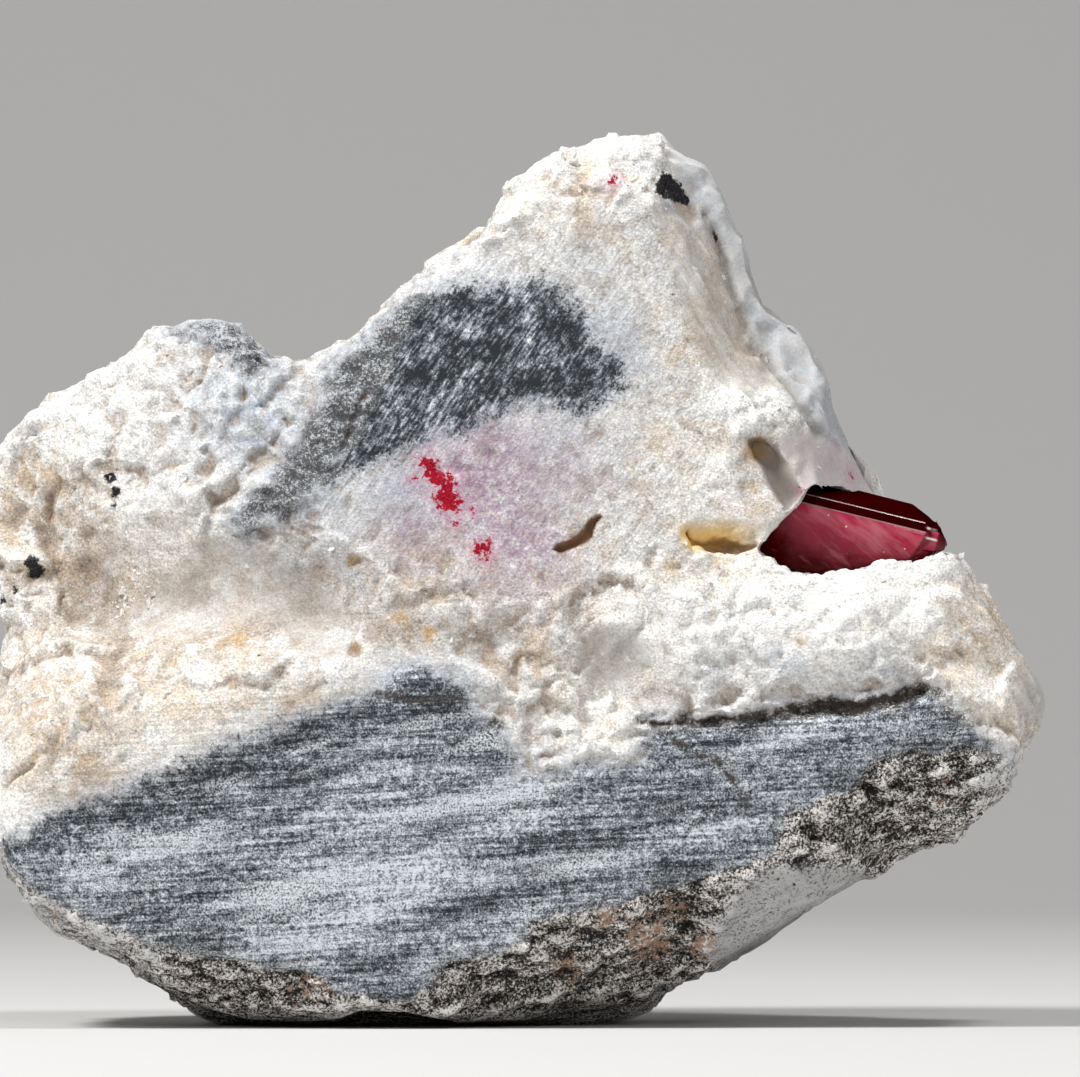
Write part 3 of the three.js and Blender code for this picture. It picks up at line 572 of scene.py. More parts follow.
glass = glassiness(x, y, z)
values = {
    "limestone": limestone_depth(points),
    "lower_saw": lower_share,
    "upper_saw": upper_share,
    "cavity": cavity,
    "hollow": hollow,
    "red": np.where(facing, red, -9),
    "black": np.where(facing, black, -9),
    "seam": np.where(facing, np.maximum(-seam, 0.11 - cracked), -9),
    "slot": np.where(facing, depth_inside(SLOT, x, z), -9),
    "glassy": glass,
    # The glassy wall's own grey, darkest beside the front stone's edge as a painted shadow of that
    # edge.
    "grey_wall": np.maximum(within(GREY_WALL, -0.1, 0.15) * near(FRONT_EDGE, 2.5, 1.1),
                            0.6 * about(x, z, 17.2, 34.9, 1.1)) * facing,
    # The crevice at the ledge's root: ochre darkened as painted shade.
    "hole": about(x, z, 15.1, 35.3, 0.75) * facing,
    "brow": within(BROW, -0.3, 0.5) * facing,
    # Painted shade along the rim's groove.
    "groove": near(RIM_GROOVE, 0.55, 0.1) * (y < 1),
    "undercut": within(UNDERCUT, -0.55, 0.2) * ramp(16.2, 12.6, x) * ramp(31.4, 30.2, z) * facing,
    "whitened": drawn_out(
        (-1.7, 14, 1.5, 0.9), (-7.9, 9.4, 1.5, 1), (-21.9, 11, 0.8, 0.8), (4, 16, 0.9, 0.8),
        (-14, 6.4, 1, 0.7), (24.4, 19, 0.8, 0.7), (9, 12.6, 1.2, 0.5), (-2, 5.8, 1.3, 0.6),
        (-26, 9.6, 0.8, 0.6), (-16.6, 15, 0.6, 0.5), (17, 17.4, 0.7, 0.6), (-13.5, 8, 1, 1),
        (-9, 6.8, 0.8, 0.9), (-19, 6.6, 0.7, 0.9), (-3.6, 16.6, 0.8, 0.8)),
    "darkened": drawn_out(
        (-9.5, 18.2, 1.2, 1), (-5.2, 21.2, 0.5, 1.6), (-20, 14.4, 0.8, 0.9), (-13.2, 13.4, 0.5, 1),
        (14.8, 14.8, 1, 0.7), (0.5, 10.6, 0.7, 0.5), (8.6, 17.6, 0.5, 0.9), (-17, 9.6, 0.6, 0.5),
        (10, 9, 0.7, 0.5)),
    "rusty": patches(
        (8.6, 5.4, 1.5, 0.8), (12, 5, 1, 0.8), (6, 7, 1, 0.7), (3.6, 3.6, 1.2, 0.6),
        (-12, 2.6, 1.5, 0.5), (10.2, 7.4, 1, 0.6), (-27.6, 7.4, 1.2, 0.4), (27, 14.6, 1, 0.4)),
    "pale_break": np.maximum(facing * within(PALE_BREAK, -1, 0.6), 0.62 * patches(
        (-31.5, 9.8, 2.6, 1), (-28.4, 7.2, 2.6, 1), (-25, 5.4, 2.2, 1), (-22.4, 4.2, 1.4, 0.8),
        (-16, 4.4, 1.2, 0.5), (29.6, 15, 1.6, 0.8), (24.5, 15.8, 1.5, 0.4))),
    "combed": (np.maximum(within(SIDE_WALL, -0.6, 0.6), within(RIGHT_FACET, -0.6, 0.8))
               + about(x, z, -29, 20.5, 5)) * facing,
    "bluish": patches(
        (-16, 38, 6, 1), (-12, 33, 4, 0.9), (-3, 44, 6, 0.9), (5, 47, 4, 0.6), (6, 42, 5, 0.8),
        (3, 36, 5, 0.7), (-7, 33, 5, 0.8), (12, 21.8, 3, 0.7), (17, 22.2, 3, 0.8),
        (-11, 30, 3, 0.7), (-3, 21.4, 3, 0.9), (22, 22.4, 3, 0.8), (1, 17.5, 3, 0.7),
        (20, 37, 2.2, 0.7), (13, 50, 1.5, 0.6), (15.6, 43.6, 1.5, 0.6), (32.4, 20.4, 1.6, 0.8),
        (9.9, 50, 1.2, 1)) + 0.9 * within(PEAK_RIM, 0, 0.8) * (y < 4),
    "cream": patches(
        (-29, 31, 6, 0.9), (-20, 22, 7, 1), (-26, 17, 6, 0.8), (-14, 20.6, 4, 0.9), (4, 52, 4, 0.8),
        (12.8, 43, 3.4, 1), (14, 31, 5, 0.8), (2, 24, 6, 0.8), (28.8, 24, 5, 1), (9, 22, 4, 0.5),
        (-5, 27, 4, 0.7), (10, 35, 4, 0.5)) + 0.6 * (1 - facing),
    "pink": patches(
        (-1.5, 33.5, 4.4, 0.9), (0.5, 30, 3.6, 0.8), (-5.5, 30.5, 2.6, 0.6), (3.5, 34, 3, 0.4),
        (20.4, 34.6, 2, 0.3)),
    # Where the stone is lit brightest, on up-facing and forward places: painted light over the
    # dolomite's own white.
    "bright": patches(
        (10, 24.5, 4, 0.9), (15.5, 25.5, 4, 1), (20, 25, 4, 1), (24.5, 25.8, 3.5, 1),
        (27, 27.4, 2, 0.8), (29.6, 21.4, 2.4, 0.8), (-21.6, 30.6, 2.4, 1), (-25, 38, 3, 0.5),
        (1.4, 51.2, 2, 0.7), (6.4, 53.6, 1.6, 0.8), (-20, 17.6, 3.5, 0.6), (-31, 12.6, 3, 0.9),
        (5, 19.6, 2.4, 0.7), (10.6, 33, 2, 0.5), (-1, 46.4, 3, 0.5), (13, 38.8, 1.4, 1),
        (15.4, 38.3, 1.2, 1), (12.6, 34, 1.6, 0.7)),
    # Painted shade on the peak's side wall, in the cleft and over the valley, and the tan block's
    # own tan.
    "shaded": (0.5 * within(TAN_BLOCK, -0.2, 0.3) + 0.8 * near(CLEFT, 0.9, 0.2)
               + 0.45 * within(SIDE_WALL, -0.3, 0.6)) * facing + uneven * patches(
        (-20, 27.6, 3.6, 1), (-13, 26.6, 4, 0.85), (-25.4, 27, 2.5, 0.8), (-8, 24.8, 3, 0.7),
        (5.8, 22.8, 2, 0.9), (-23.4, 22.4, 1.6, 0.6), (3.6, 26.4, 1.6, 0.5)),
    "ochre": patches(
        (13, 29.9, 1.7, 1), (15.3, 35.6, 0.9, 0.9), (-9.5, 28.6, 0.6, 0.8), (-9.4, 23.2, 0.6, 0.8),
        (-16.4, 38.6, 0.8, 0.5), (4.3, 29.9, 1.3, 0.6), (-16.7, 23.8, 1.7, 0.6),
        (-20.1, 19.8, 2.2, 0.55), (28, 22.4, 2, 0.6), (-29.6, 15.6, 2, 0.5), (13.4, 27.5, 0.6, 0.9),
        (-6.6, 25.1, 1, 0.7), (-5, 24.1, 0.8, 0.7), (-2.4, 24.3, 0.9, 0.6), (8.7, 27.4, 0.8, 0.6),
        (10, 28.2, 0.8, 0.8), (16.7, 27.1, 0.5, 0.6), (21.9, 24.6, 1, 0.6), (17.9, 23.8, 0.9, 0.5),
        (26.1, 23.6, 1.3, 0.7), (0.6, 52.4, 0.7, 0.5), (-1, 49, 0.8, 0.5), (6, 51, 0.6, 0.5)),
}
for name, value in values.items():
    attach(stone_mesh, name, value)

stone_mesh.transform(Matrix.Scale(MM, 4))
stone_mesh.shade_smooth()
stone_mesh.set_sharp_from_angle(angle=math.radians(42))
stone = placed("stone", stone_mesh)
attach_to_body(stone, "root")
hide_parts("matrix")


# The functions from here to group_of add nodes to the material or group that is being made, tree.
def give(node, inputs):
    """Sets a node's inputs, each to a number, a colour or another node's output."""
    for key, value in inputs.items():
        if isinstance(value, bpy.types.NodeSocket):
            tree.links.new(value, node.inputs[key])
        else:
            node.inputs[key].default_value = value


def shader(kind, inputs=None, **settings):
    """A new shader node with its settings and inputs."""
    made = tree.nodes.new("ShaderNode" + kind)
    for setting, value in settings.items():
        setattr(made, setting, value)
    give(made, inputs or {})
    return made


def maths(operation, *values):
    return shader("Math", dict(enumerate(values)), operation=operation).outputs[0]


def times(first, second):
    return maths("MULTIPLY", first, second)


def between(low, high, value, top=1):
    """0 at low, top at high, straight between them and held beyond."""
    inputs = {"Value": value, "From Min": low, "From Max": high, "To Min": 0, "To Max": top}
    return shader("MapRange", inputs, clamp=True).outputs["Result"]


def blended(share, first, second, kind="MIX"):
    """The first colour mixed with the second to a share, in the colour sockets of a Mix node."""
    made = shader("Mix", {"Factor": share}, data_type="RGBA", blend_type=kind)
    for socket, value in ((6, first), (7, second)):
        give(made, {socket: (*value, 1) if isinstance(value, tuple) else value})
    return made.outputs[2]


def painted(colour, *coats):
    """A colour with others laid over it in turn, each (share, colour)."""
    for share, shade in coats:
        colour = blended(share, colour, shade)
    return colour


def scaled(colour, by):
    return shader("VectorMath", {0: colour, "Scale": by}, operation="SCALE").outputs[0]


def dot(place, along):
    return shader("VectorMath", {0: place, 1: along}, operation="DOT_PRODUCT").outputs["Value"]


def millimetres():
    """Places on the object, in millimetres."""
    return scaled(shader("TexCoord").outputs["Object"], 1 / MM)


def cells(place, per_mm, **settings):
    return shader("TexVoronoi", {"Vector": place, "Scale": per_mm}, **settings).outputs


def noise(place, per_mm, detail=3, rough=0.55):
    inputs = {"Vector": place, "Scale": per_mm, "Detail": detail, "Roughness": rough}
    return shader("TexNoise", inputs).outputs["Fac"]


def streaks(place, angle, along, across, detail=3):
    """Noise drawn out along lines that rise by angle degrees to the right over the display face."""
    c, s = math.cos(math.radians(angle)), math.sin(math.radians(angle))
    axes = (c * along, 0, s * along), (0, across, 0), (-s * across, 0, c * across)
    drawn = shader("CombineXYZ", {i: dot(place, axis) for i, axis in enumerate(axes)})
    return noise(drawn.outputs[0], 1, detail)


def named(name):
    return shader("Attribute", attribute_name=name).outputs["Fac"]


def weighed(*parts, offset=0):
    """The sum of values, each times its own weight, and an offset."""
    total = offset
    for value, weight in parts:
        total = shader("Math", {0: value, 1: weight, 2: total}, operation="MULTIPLY_ADD").outputs[0]
    return total


def shifted(place, by):
    return shader("VectorMath", {0: place, 1: by}, operation="ADD").outputs[0]


def graded(value, *stops):
    """The colour that a value from 0 to 1 gets on a scale of stops, each (position, colour)."""
    scale = shader("ValToRGB", {0: between(0, 1, value)})
    elements = scale.color_ramp.elements
    while len(elements) < len(stops):
        elements.new(0.5)
    for element, (position, shade) in zip(elements, stops):
        element.position = position
        element.color = (*shade, 1)
    return scale.outputs[0]


def new_look(name):
    """A new material and its surface shader."""
    global tree
    look = bpy.data.materials.new(name)
    look.use_nodes = True
    tree = look.node_tree
    return look, tree.nodes["Principled BSDF"]


def group_of(name, inputs, outputs):
    """An empty shader node group with named number inputs and named outputs."""
    global tree
    tree = bpy.data.node_groups.new(name, "ShaderNodeTree")
    for socket, value in inputs.items():
        made = tree.interface.new_socket(socket, in_out="INPUT", socket_type="NodeSocketFloat")
        made.default_value = value
    for socket, kind in outputs.items():
        tree.interface.new_socket(socket, in_out="OUTPUT", socket_type="NodeSocket" + kind)
    return tree.nodes.new("NodeGroupInput").outputs, tree.nodes.new("NodeGroupOutput")


# Dolomite: white to cream sugary grains a quarter of a millimetre across, some of them glassy.
# The group's inputs say how cream, bluish, ochre, shaded, deep (Cavity, Hollow), combed by
# cleavage, bright and glassy a place is. Deep places are darkened as painted shade and crests
# lightened as painted light; Shaded adds painted shade and some tan, and Bright adds painted light.
GRAIN = 6.6  # per millimetre
given, out = group_of(
    "sugary_dolomite",
    {"Cream": 0.5, **dict.fromkeys(
        ("Bluish", "Ochre", "Shaded", "Cavity", "Hollow", "Combed", "Bright", "Glassy"), 0)},
    {"Colour": "Color", "Roughness": "Float", "Height": "Float"},
)
place = millimetres()
cloud = noise(place, 0.3, 3, 0.62)
mottle = noise(place, 1.15, 3, 0.68)
other_mottle = noise(shifted(place, (31, 17, 5)), 0.75, 3, 0.66)
fine = noise(place, 7, 2, 0.8)
grain = cells(place, GRAIN)
grain_tone = shader("SeparateColor", {0: grain["Color"]}).outputs
specks = between(0.66, 0.76, noise(shifted(place, (9, 2, 7)), 3.2, 3, 0.7), 0.6)
cream = between(0.38, 0.62, weighed((given["Cream"], 0.3), (cloud, 0.72)))
tan = between(0.6, 0.76, weighed((mottle, 1), (given["Cream"], 0.1)), 0.8)
glassy_tan = between(0.57, 0.68, weighed((other_mottle, 1), (given["Cream"], 0.05)), 0.75)
swirl = shader("CombineXYZ", {0: mottle, 1: cloud, 2: other_mottle}).outputs[0]
bent = shader("VectorMath", {0: swirl, 1: (1.6, 1.6, 1.6), 2: place}, operation="MULTIPLY_ADD")
block = cells(bent.outputs[0], 0.85, distance="CHEBYCHEV")
block_tone = shader("SeparateColor", {0: block["Color"]}).outputs
clear_block = between(0.66, 0.74, weighed((block_tone[0], 1), (given["Cream"], 0.06)), 0.55)
white_block = between(0.62, 0.66, block_tone[1], 0.5)
white = between(0.52, 0.64, noise(shifted(place, (5, 3, 40)), 0.6, 3, 0.6))
cool = between(0.42, 0.66, weighed((given["Bluish"], 0.42), (mottle, 0.4)))
cool_grain = times(between(0.5, 0.6, fine, 0.75), given["Bluish"])
ochre = between(0.38, 0.72, weighed((given["Ochre"], 1), (mottle, 0.9), offset=-0.45), 0.9)
# Painted shade, with the tan of the tan block.
shade = times(given["Shaded"], between(0.25, 0.6, cloud, 0.9))
# Painted shade in dips.
painted_cavity_shade = between(0.1, 1.5, weighed((given["Cavity"], 0.8), (given["Hollow"], 0.5)), 0.72)
# Painted light on crests, the opposite of the painted shade in dips.
painted_crest_light = between(0.1, 1.2, weighed((given["Cavity"], -0.9), (given["Hollow"], -0.2)), 0.5)
comb = between(0.4, 0.62, streaks(place, -52, 0.22, 2.4, 3))
# Painted light over the white, where Bright says.
bright = times(given["Bright"], between(0.34, 0.5, cloud, 0.9))
colour = painted(
    blended(cream, (0.77, 0.765, 0.76), (0.75, 0.63, 0.5)),
    (tan, (0.56, 0.39, 0.24)),
    (glassy_tan, (0.5, 0.42, 0.35)),
    (clear_block, (0.52, 0.45, 0.385)),
    (white_block, (0.93, 0.915, 0.895)),
    (times(white, 0.85), (0.9, 0.885, 0.86)),
    (cool, (0.54, 0.6, 0.69)),
    (cool_grain, (0.26, 0.29, 0.34)),
    (ochre, (0.6, 0.38, 0.15)),
    (shade, (0.36, 0.3, 0.25)),
    (painted_cavity_shade, (0.42, 0.33, 0.25)),
    (painted_crest_light, (0.9, 0.885, 0.86)),
    (times(comb, times(given["Combed"], 0.6)), (0.62, 0.47, 0.31)),
    (bright, (0.98, 0.965, 0.93)),
    (times(given["Glassy"], 0.66), (0.5, 0.49, 0.475)),
    (specks, (0.3, 0.24, 0.18)))
grainy = maths("SUBTRACT", 1, times(given["Glassy"], 0.8))
# The grain's tone, lifted a little by Bright as painted light.
tone = weighed(
    (grain_tone[0], 0.34), (fine, 1.45), (mottle, 0.6), (grain["Distance"], -0.35),
    (given["Bright"], 0.13), offset=-1.115)
shiny = maths("GREATER_THAN", grain_tone[1], 0.78)
give(out, {
    "Colour": scaled(colour, maths("ADD", 1, times(tone, grainy))),
    "Roughness": weighed((shiny, -0.3), (mottle, 0.2), (given["Glassy"], -0.1), offset=0.46),
    "Height": times(weighed((grain["Distance"], 0.8), (fine, 1.1)), grainy)})
sugary_dolomite = tree

# The stone's own material: dolomite and limestone, with the saw's marks, the dark broken faces,
# the pink and red of cinnabar close to the surface, and a few black specks.
stone_look, surface = new_look("stone")
place = millimetres()
here = {state: named(state.lower()) for state in (
    "Cream", "Ochre", "Shaded", "Cavity", "Hollow", "Combed", "Bright", "Glassy")}
near_limestone = between(-2.4, -0.2, named("limestone"), 0.85)
here["Bluish"] = maths("MAXIMUM", named("bluish"), near_limestone)
dolomite_look = shader("Group", here, node_tree=sugary_dolomite).outputs
grit = noise(place, 5, 3, 0.8)
coarse_grit = noise(place, 2.2, 3, 0.72)
height = dot(place, (0, 0, 1))
white_stone = painted(
    dolomite_look["Colour"],
    (times(named("pink"), between(0.28, 0.6, coarse_grit)), (0.33, 0.19, 0.3)),
    # Glassy grey wall, partly painted shadow beside the front edge.
    (times(named("grey_wall"), 0.8), (0.25, 0.225, 0.195)),
    # Crevice: ochre darkened as painted shade.
    (times(named("hole"), 0.9), (0.4, 0.24, 0.1)),
    (times(named("brow"), 0.55), (0.6, 0.53, 0.53)),
    # Rim groove: painted shade.
    (times(named("groove"), 0.5), (0.25, 0.25, 0.25)),
    (times(named("undercut"), 0.95), (0.8, 0.54, 0.2)))

# Sawn limestone: bands and streaks nearly level on the lower flat, steep on the upper one.
on_lower = named("lower_saw")
on_upper = named("upper_saw")
lower_bands = streaks(place, 13, 0.1, 0.42, 3)
lower_marks = streaks(place, 3, 0.22, 4.6, 2)
upper_bands = noise(place, 0.5, 3, 0.6)
upper_marks = streaks(place, 57, 0.11, 5.6, 2)
bands = blended(on_upper, lower_bands, upper_bands)
marks = blended(on_upper, lower_marks, upper_marks)
salt = noise(place, 8, 2, 0.85)
low_down = between(16, 5, height, 0.14)
tone = weighed(
    (bands, 1.5), (marks, 1.3), (salt, 2.3), (coarse_grit, 1.5), (on_upper, 0.05), (low_down, 0.8),
    (times(marks, on_upper), 0.5), (times(salt, on_upper), -0.9),
    (named("whitened"), 0.22), (named("darkened"), -0.18), offset=-2.95)
sawn_grey = graded(
    tone, (0, (0.022, 0.025, 0.029)), (0.25, (0.085, 0.094, 0.106)), (0.46, (0.2, 0.22, 0.245)),
    (0.68, (0.4, 0.43, 0.47)), (1, (0.8, 0.83, 0.88)))
white_streak = weighed((streaks(place, 14, 0.13, 0.75, 3), 1), (named("whitened"), 0.1))
white_streak = times(between(0.56, 0.72, white_streak, 0.9), between(0.42, 0.54, salt))
sawn_colour = blended(times(white_streak, on_lower), sawn_grey, (0.8, 0.84, 0.88))

# Broken limestone: nearly black to brown with pale grains and a few rusty patches low down, and mid
# grey in the upper piece. It is darker in dips as painted shade.
pale_break = named("pale_break")
high_up = between(25, 28, height)
flaky = streaks(place, 22, 0.7, 1.8, 3)
tone = weighed(
    (salt, 1.9), (grit, 3.4), (flaky, 1.4), (pale_break, 0.28), (high_up, -0.03),
    (here["Cavity"], -0.16), (here["Hollow"], -0.14), offset=-2.88)
rough_grey = graded(
    tone, (0, (0.006, 0.0055, 0.005)), (0.28, (0.024, 0.021, 0.018)), (0.46, (0.085, 0.075, 0.065)),
    (0.64, (0.3, 0.275, 0.25)), (1, (0.85, 0.82, 0.78)))
cooled = maths("MAXIMUM", high_up, times(pale_break, 0.7))
clear_facet = times(between(0.3, 0.9, pale_break), between(0.36, 0.5, grit, 0.85))
rusty = weighed((named("rusty"), 0.3), (coarse_grit, 1))
broken = painted(
    blended(cooled, rough_grey, (0.94, 1.02, 1.14), "MULTIPLY"),
    (times(high_up, 0.45), (0.15, 0.16, 0.17)),
    (clear_facet, (0.42, 0.415, 0.41)),
    (between(0.62, 0.76, rusty, 0.85), (0.38, 0.23, 0.15)))
on_saw = maths("MAXIMUM", on_lower, on_upper)
limestone_colour = blended(between(0.2, 0.8, on_saw), broken, sawn_colour)

# The two rocks meet along a ragged line that fades through a millimetre of bluish grains.
ragged_edge = noise(place, 0.8, 4, 0.72)
border = weighed(
    (named("limestone"), 1), (ragged_edge, 3.8), (grit, 3.2), (salt, 1.4), offset=-4.2)
grey_here = between(-0.5, 0.3, border)
# The saw's marks, and the upper sawn flat 13 % darker as painted shade.
saw_tone = weighed(
    (times(maths("SUBTRACT", marks, 0.5), on_saw), 0.8), (on_upper, -0.13), offset=1)
colour = blended(grey_here, scaled(white_stone, saw_tone), limestone_colour)

# The dark seams, the brown slot, the red of cinnabar in its haze of pink, and the black grains.
seam = weighed((named("seam"), 1), (coarse_grit, 1.6), (grit, 0.6), offset=-1.1)
seam_tone = blended(between(0.35, 0.75, grit), (0.014, 0.011, 0.009), (0.12, 0.095, 0.075))
slot = weighed((named("slot"), 1), (grit, 0.3), offset=-0.15)
ragged = weighed((noise(place, 2.8, 3, 0.75), 2.2), offset=-1.1)
stained = weighed((named("red"), 1), (ragged, 1.2), (grit, 0.4), offset=-0.26)
red_tone = blended(between(0.36, 0.62, salt), (0.14, 0, 0.006), (0.46, 0.002, 0.022))
black_here = between(-0.02, 0.1, weighed((named("black"), 1), (ragged, 0.35)))
black_tone = blended(between(0.55, 0.7, salt), (0.016, 0.015, 0.018), (0.12, 0.11, 0.11))
colour = painted(
    colour,
    (between(-0.12, 0.12, seam, 0.96), seam_tone),
    (between(-0.1, 0.06, slot, 0.92), (0.2, 0.105, 0.052)),
    (between(-0.75, 0.1, stained, 0.42), (0.62, 0.27, 0.4)),
    (between(-0.06, 0.14, stained), red_tone),
    (black_here, black_tone))
roughness = painted(
    dolomite_look["Roughness"], (grey_here, (0.62, 0.62, 0.62)), (black_here, (0.25, 0.25, 0.25)))
bump = shader("Bump", {"Height": dolomite_look["Height"], "Strength": 0.4, "Distance": 0.0001})
give(surface, {"Base Color": colour, "Roughness": roughness, "Normal": bump.outputs[0],
               "Specular IOR Level": 0.12})
stone_mesh.materials.clear()
stone_mesh.materials.append(stone_look)

# ==== The sugar of small dolomite crystals ====
# Rhombs a few tenths of a millimetre long, grown on the pocket's lip, in its hollows, in the small
# druse at the left and along the crumbled edges. They are dolomite too, rooted in the stone.

rng = np.random.default_rng(7)
ROOTED = 0.34  # how deep a rhomb's middle lies under the stone's skin, as a share of its size
RHOMB = np.array([[i, j, k] for i in (-0.5, 0.5) for j in (-0.5, 0.5) for k in (-0.5, 0.5)])
RHOMB = RHOMB @ (np.eye(3) + 0.2 * (np.ones((3, 3)) - np.eye(3)))
RHOMB_FACES = np.array([
    [0, 1, 3, 2], [4, 6, 7, 5], [0, 4, 5, 1], [2, 3, 7, 6], [0, 2, 6, 4], [1, 5, 7, 3]])


def turned_at_random(count):
    """Random turns as 3x3 matrices."""
    q = rng.normal(size=(count, 4))
    q /= np.linalg.norm(q, axis=1)[:, None]
    w, i, j, k = q.T
    return np.stack([
        1 - 2 * (j * j + k * k), 2 * (i * j - k * w), 2 * (i * k + j * w),
        2 * (i * j + k * w), 1 - 2 * (i * i + k * k), 2 * (j * k - i * w),
        2 * (i * k - j * w), 2 * (j * k + i * w), 1 - 2 * (i * i + j * j),
    ], axis=1).reshape(-1, 3, 3)


def joined_rhombs(name, centres, sizes):
    """One mesh of rhombs about their centres, in millimetres, with a tone for each."""
    count = len(centres)
    shape = RHOMB * np.array([1, 0.85, 0.7])
    corners = np.einsum("nij,kj->nki", turned_at_random(count), shape) * sizes[:, None, None]
    corners = (corners + centres[:, None, :]).reshape(-1, 3)
    faces = (RHOMB_FACES[None] + 8 * np.arange(count)[:, None, None]).reshape(-1, 4)
    mesh = bpy.data.meshes.new(name)
    mesh.from_pydata((corners * MM).tolist(), [], faces.tolist())
    attach(mesh, "tone", np.repeat(rng.random(count), 8))
    return mesh


x, y, z = points.T
lip = near(LIP, 0.8, 0.2) * (y < -7) * (x > 14.6)
druse = ramp(1.9, 0.9, np.hypot(x + 23, (z - 26.3) * 0.75)) * (y < -3)
crumbs = (values["limestone"] < -0.8) * (lower_share + upper_share < 0.2)
likely = np.maximum.reduce([0.05 * lip, 0.7 * druse, 0.02 * crumbs * (y < 0), 0.008 * crumbs])
chosen = np.flatnonzero(rng.random(len(points)) < 0.42 * likely * (1 - glassiness(x, y, z)))
sizes = 0.16 + 0.24 * rng.random(len(chosen)) ** 2
sizes *= 1 + 0.2 * lip[chosen] + 0.25 * druse[chosen]
sunk = points[chosen] - outward[chosen] * ROOTED * sizes[:, None]
sugar_mesh = joined_rhombs("dolomite_sugar", sunk, sizes)
sugar = placed("dolomite_sugar", sugar_mesh)
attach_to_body(sugar, "root")

sugar_look, surface = new_look("dolomite_crystals")
crystal_tone = named("tone")
grown = shader("Group", {"Cream": 0.35}, node_tree=sugary_dolomite).outputs["Colour"]
give(surface, {
    "Base Color": blended(between(0, 1, crystal_tone, 0.5), grown, (0.9, 0.875, 0.85)),
    "Roughness": maths("ADD", 0.16, times(crystal_tone, 0.3))})
sugar_mesh.materials.append(sugar_look)

# ==== The pocket's crust ====
# The fused floor of dolomite crystals under the cinnabar: the node's own solid, covered with
# rhombs that have grown into each other.

CRUST_STEP, CRUST_CRYSTAL = 0.1, 0.5
crust_mesh = shaped(mesh_of_node("pocket_crust"), "pocket_crust", voxels(CRUST_STEP))
crust_points = points_of(crust_mesh)
crust_normals = normals_of(crust_mesh)
tilt, height, _ = cleavage(crust_points, CRUST_CRYSTAL, 511)
crust_points = crust_points + crust_normals * (0.07 * tilt + 0.04 * height)[:, None]
set_points(crust_mesh, crust_points)
crust_mesh.transform(Matrix.Scale(MM, 4))
crust_mesh.shade_flat()
attach(crust_mesh, "tone", 0.5 + 0.5 * height)
crust = placed("pocket_crust", crust_mesh)
crust_mesh.materials.clear()
crust_mesh.materials.append(sugar_look)
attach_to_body(crust, "root")
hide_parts("pocket_crust")

# ==== The cinnabar ====
# One flat-sided deep red crystal with a steep, stepped right end, rooted in the dolomite at its
# left. Its faces are adamantine and light goes a little way in. Pale veils on its front faces are
# partly painted reflection, its top faces and a band under its top edges are painted dark as
# reflection and shade, and its top edges and right end carry painted highlights.

# In the crystal's colour: pale veils on its front faces, growing towards its top, partly painted
# reflection, and a few sparks that are painted glints.
UP = 0.235, 0, 0.972  # square to its long edges, which fall by 13.6 degrees to the right
TOP_EDGES = 35.2, 36.4  # how far up they lie
# A band under the top edges, painted dark as reflection and shade.
DARK_BAND = 35.5, 35.98
FRONT = -9.5  # y, behind the front face's edges
END = 25.3  # x, where the stepped right end starts
given, out = group_of("cinnabar_depths", {"Front": 0}, {"Colour": "Color", "Height": "Float"})
place = millimetres()
veil = noise(place, 0.42, 5, 0.62)
height = dot(place, UP)
across = dot(place, (1, 0, 0))
upper = between(31.4, 35.2, height)
tip = between(18.4, 15.6, across, 0.5)
veil_and_reflection = between(0.44, 0.98, weighed((veil, 0.8), (upper, 0.62), (tip, -0.5)))
veil_and_reflection = times(veil_and_reflection, between(0, 1, given["Front"]))
wisps = weighed((streaks(place, -38, 0.35, 1.5, 4), 1), (upper, 0.22), (tip, -0.2))
wisps = times(between(0.64, 0.88, wisps, 0.75), given["Front"])
# Painted glints.
painted_glint = maths("LESS_THAN", cells(place, 1.25)["Distance"], 0.075)
colour = painted(
    blended(veil_and_reflection, (0.085, 0.0001, 0.0006), (0.42, 0.026, 0.068)),
    (wisps, (0.56, 0.17, 0.21)),
    (times(painted_glint, given["Front"]), (0.9, 0.62, 0.45)))
# Painted highlights: glints on two short steps of the right end.
for step in (35.8, 35.2):
    step_glint = between(0.1, 0.04, maths("ABSOLUTE", maths("SUBTRACT", height, step)))
    along = between(0.42, 0.22, maths("ABSOLUTE", maths("SUBTRACT", across, 25.95)))
    colour = blended(times(step_glint, along), colour, (0.95, 0.82, 0.8))
give(out, {"Colour": colour, "Height": streaks(place, -13.6, 0.1, 5, 2)})
cinnabar_depths = tree


def cinnabar_look(name, shade, shade_share, specular, rough, through):
    """One of the crystal's looks: its depths under a plain colour, more or less shiny and clear. On
    the top faces that colour is painted dark as reflection and shade, on the top edges it is a
    painted highlight.
    """
    look, surface = new_look(name)
    depths = shader("Group", {"Front": named("front_face")}, node_tree=cinnabar_depths).outputs
    bump = shader("Bump", {"Height": depths["Height"], "Strength": 0.2, "Distance": 0.00004})
    give(surface, {
        "Base Color": blended(shade_share, depths["Colour"], shade), "Normal": bump.outputs[0],
        "Roughness": rough, "IOR": 2.4, "Specular IOR Level": specular,
        "Transmission Weight": through})
    return look


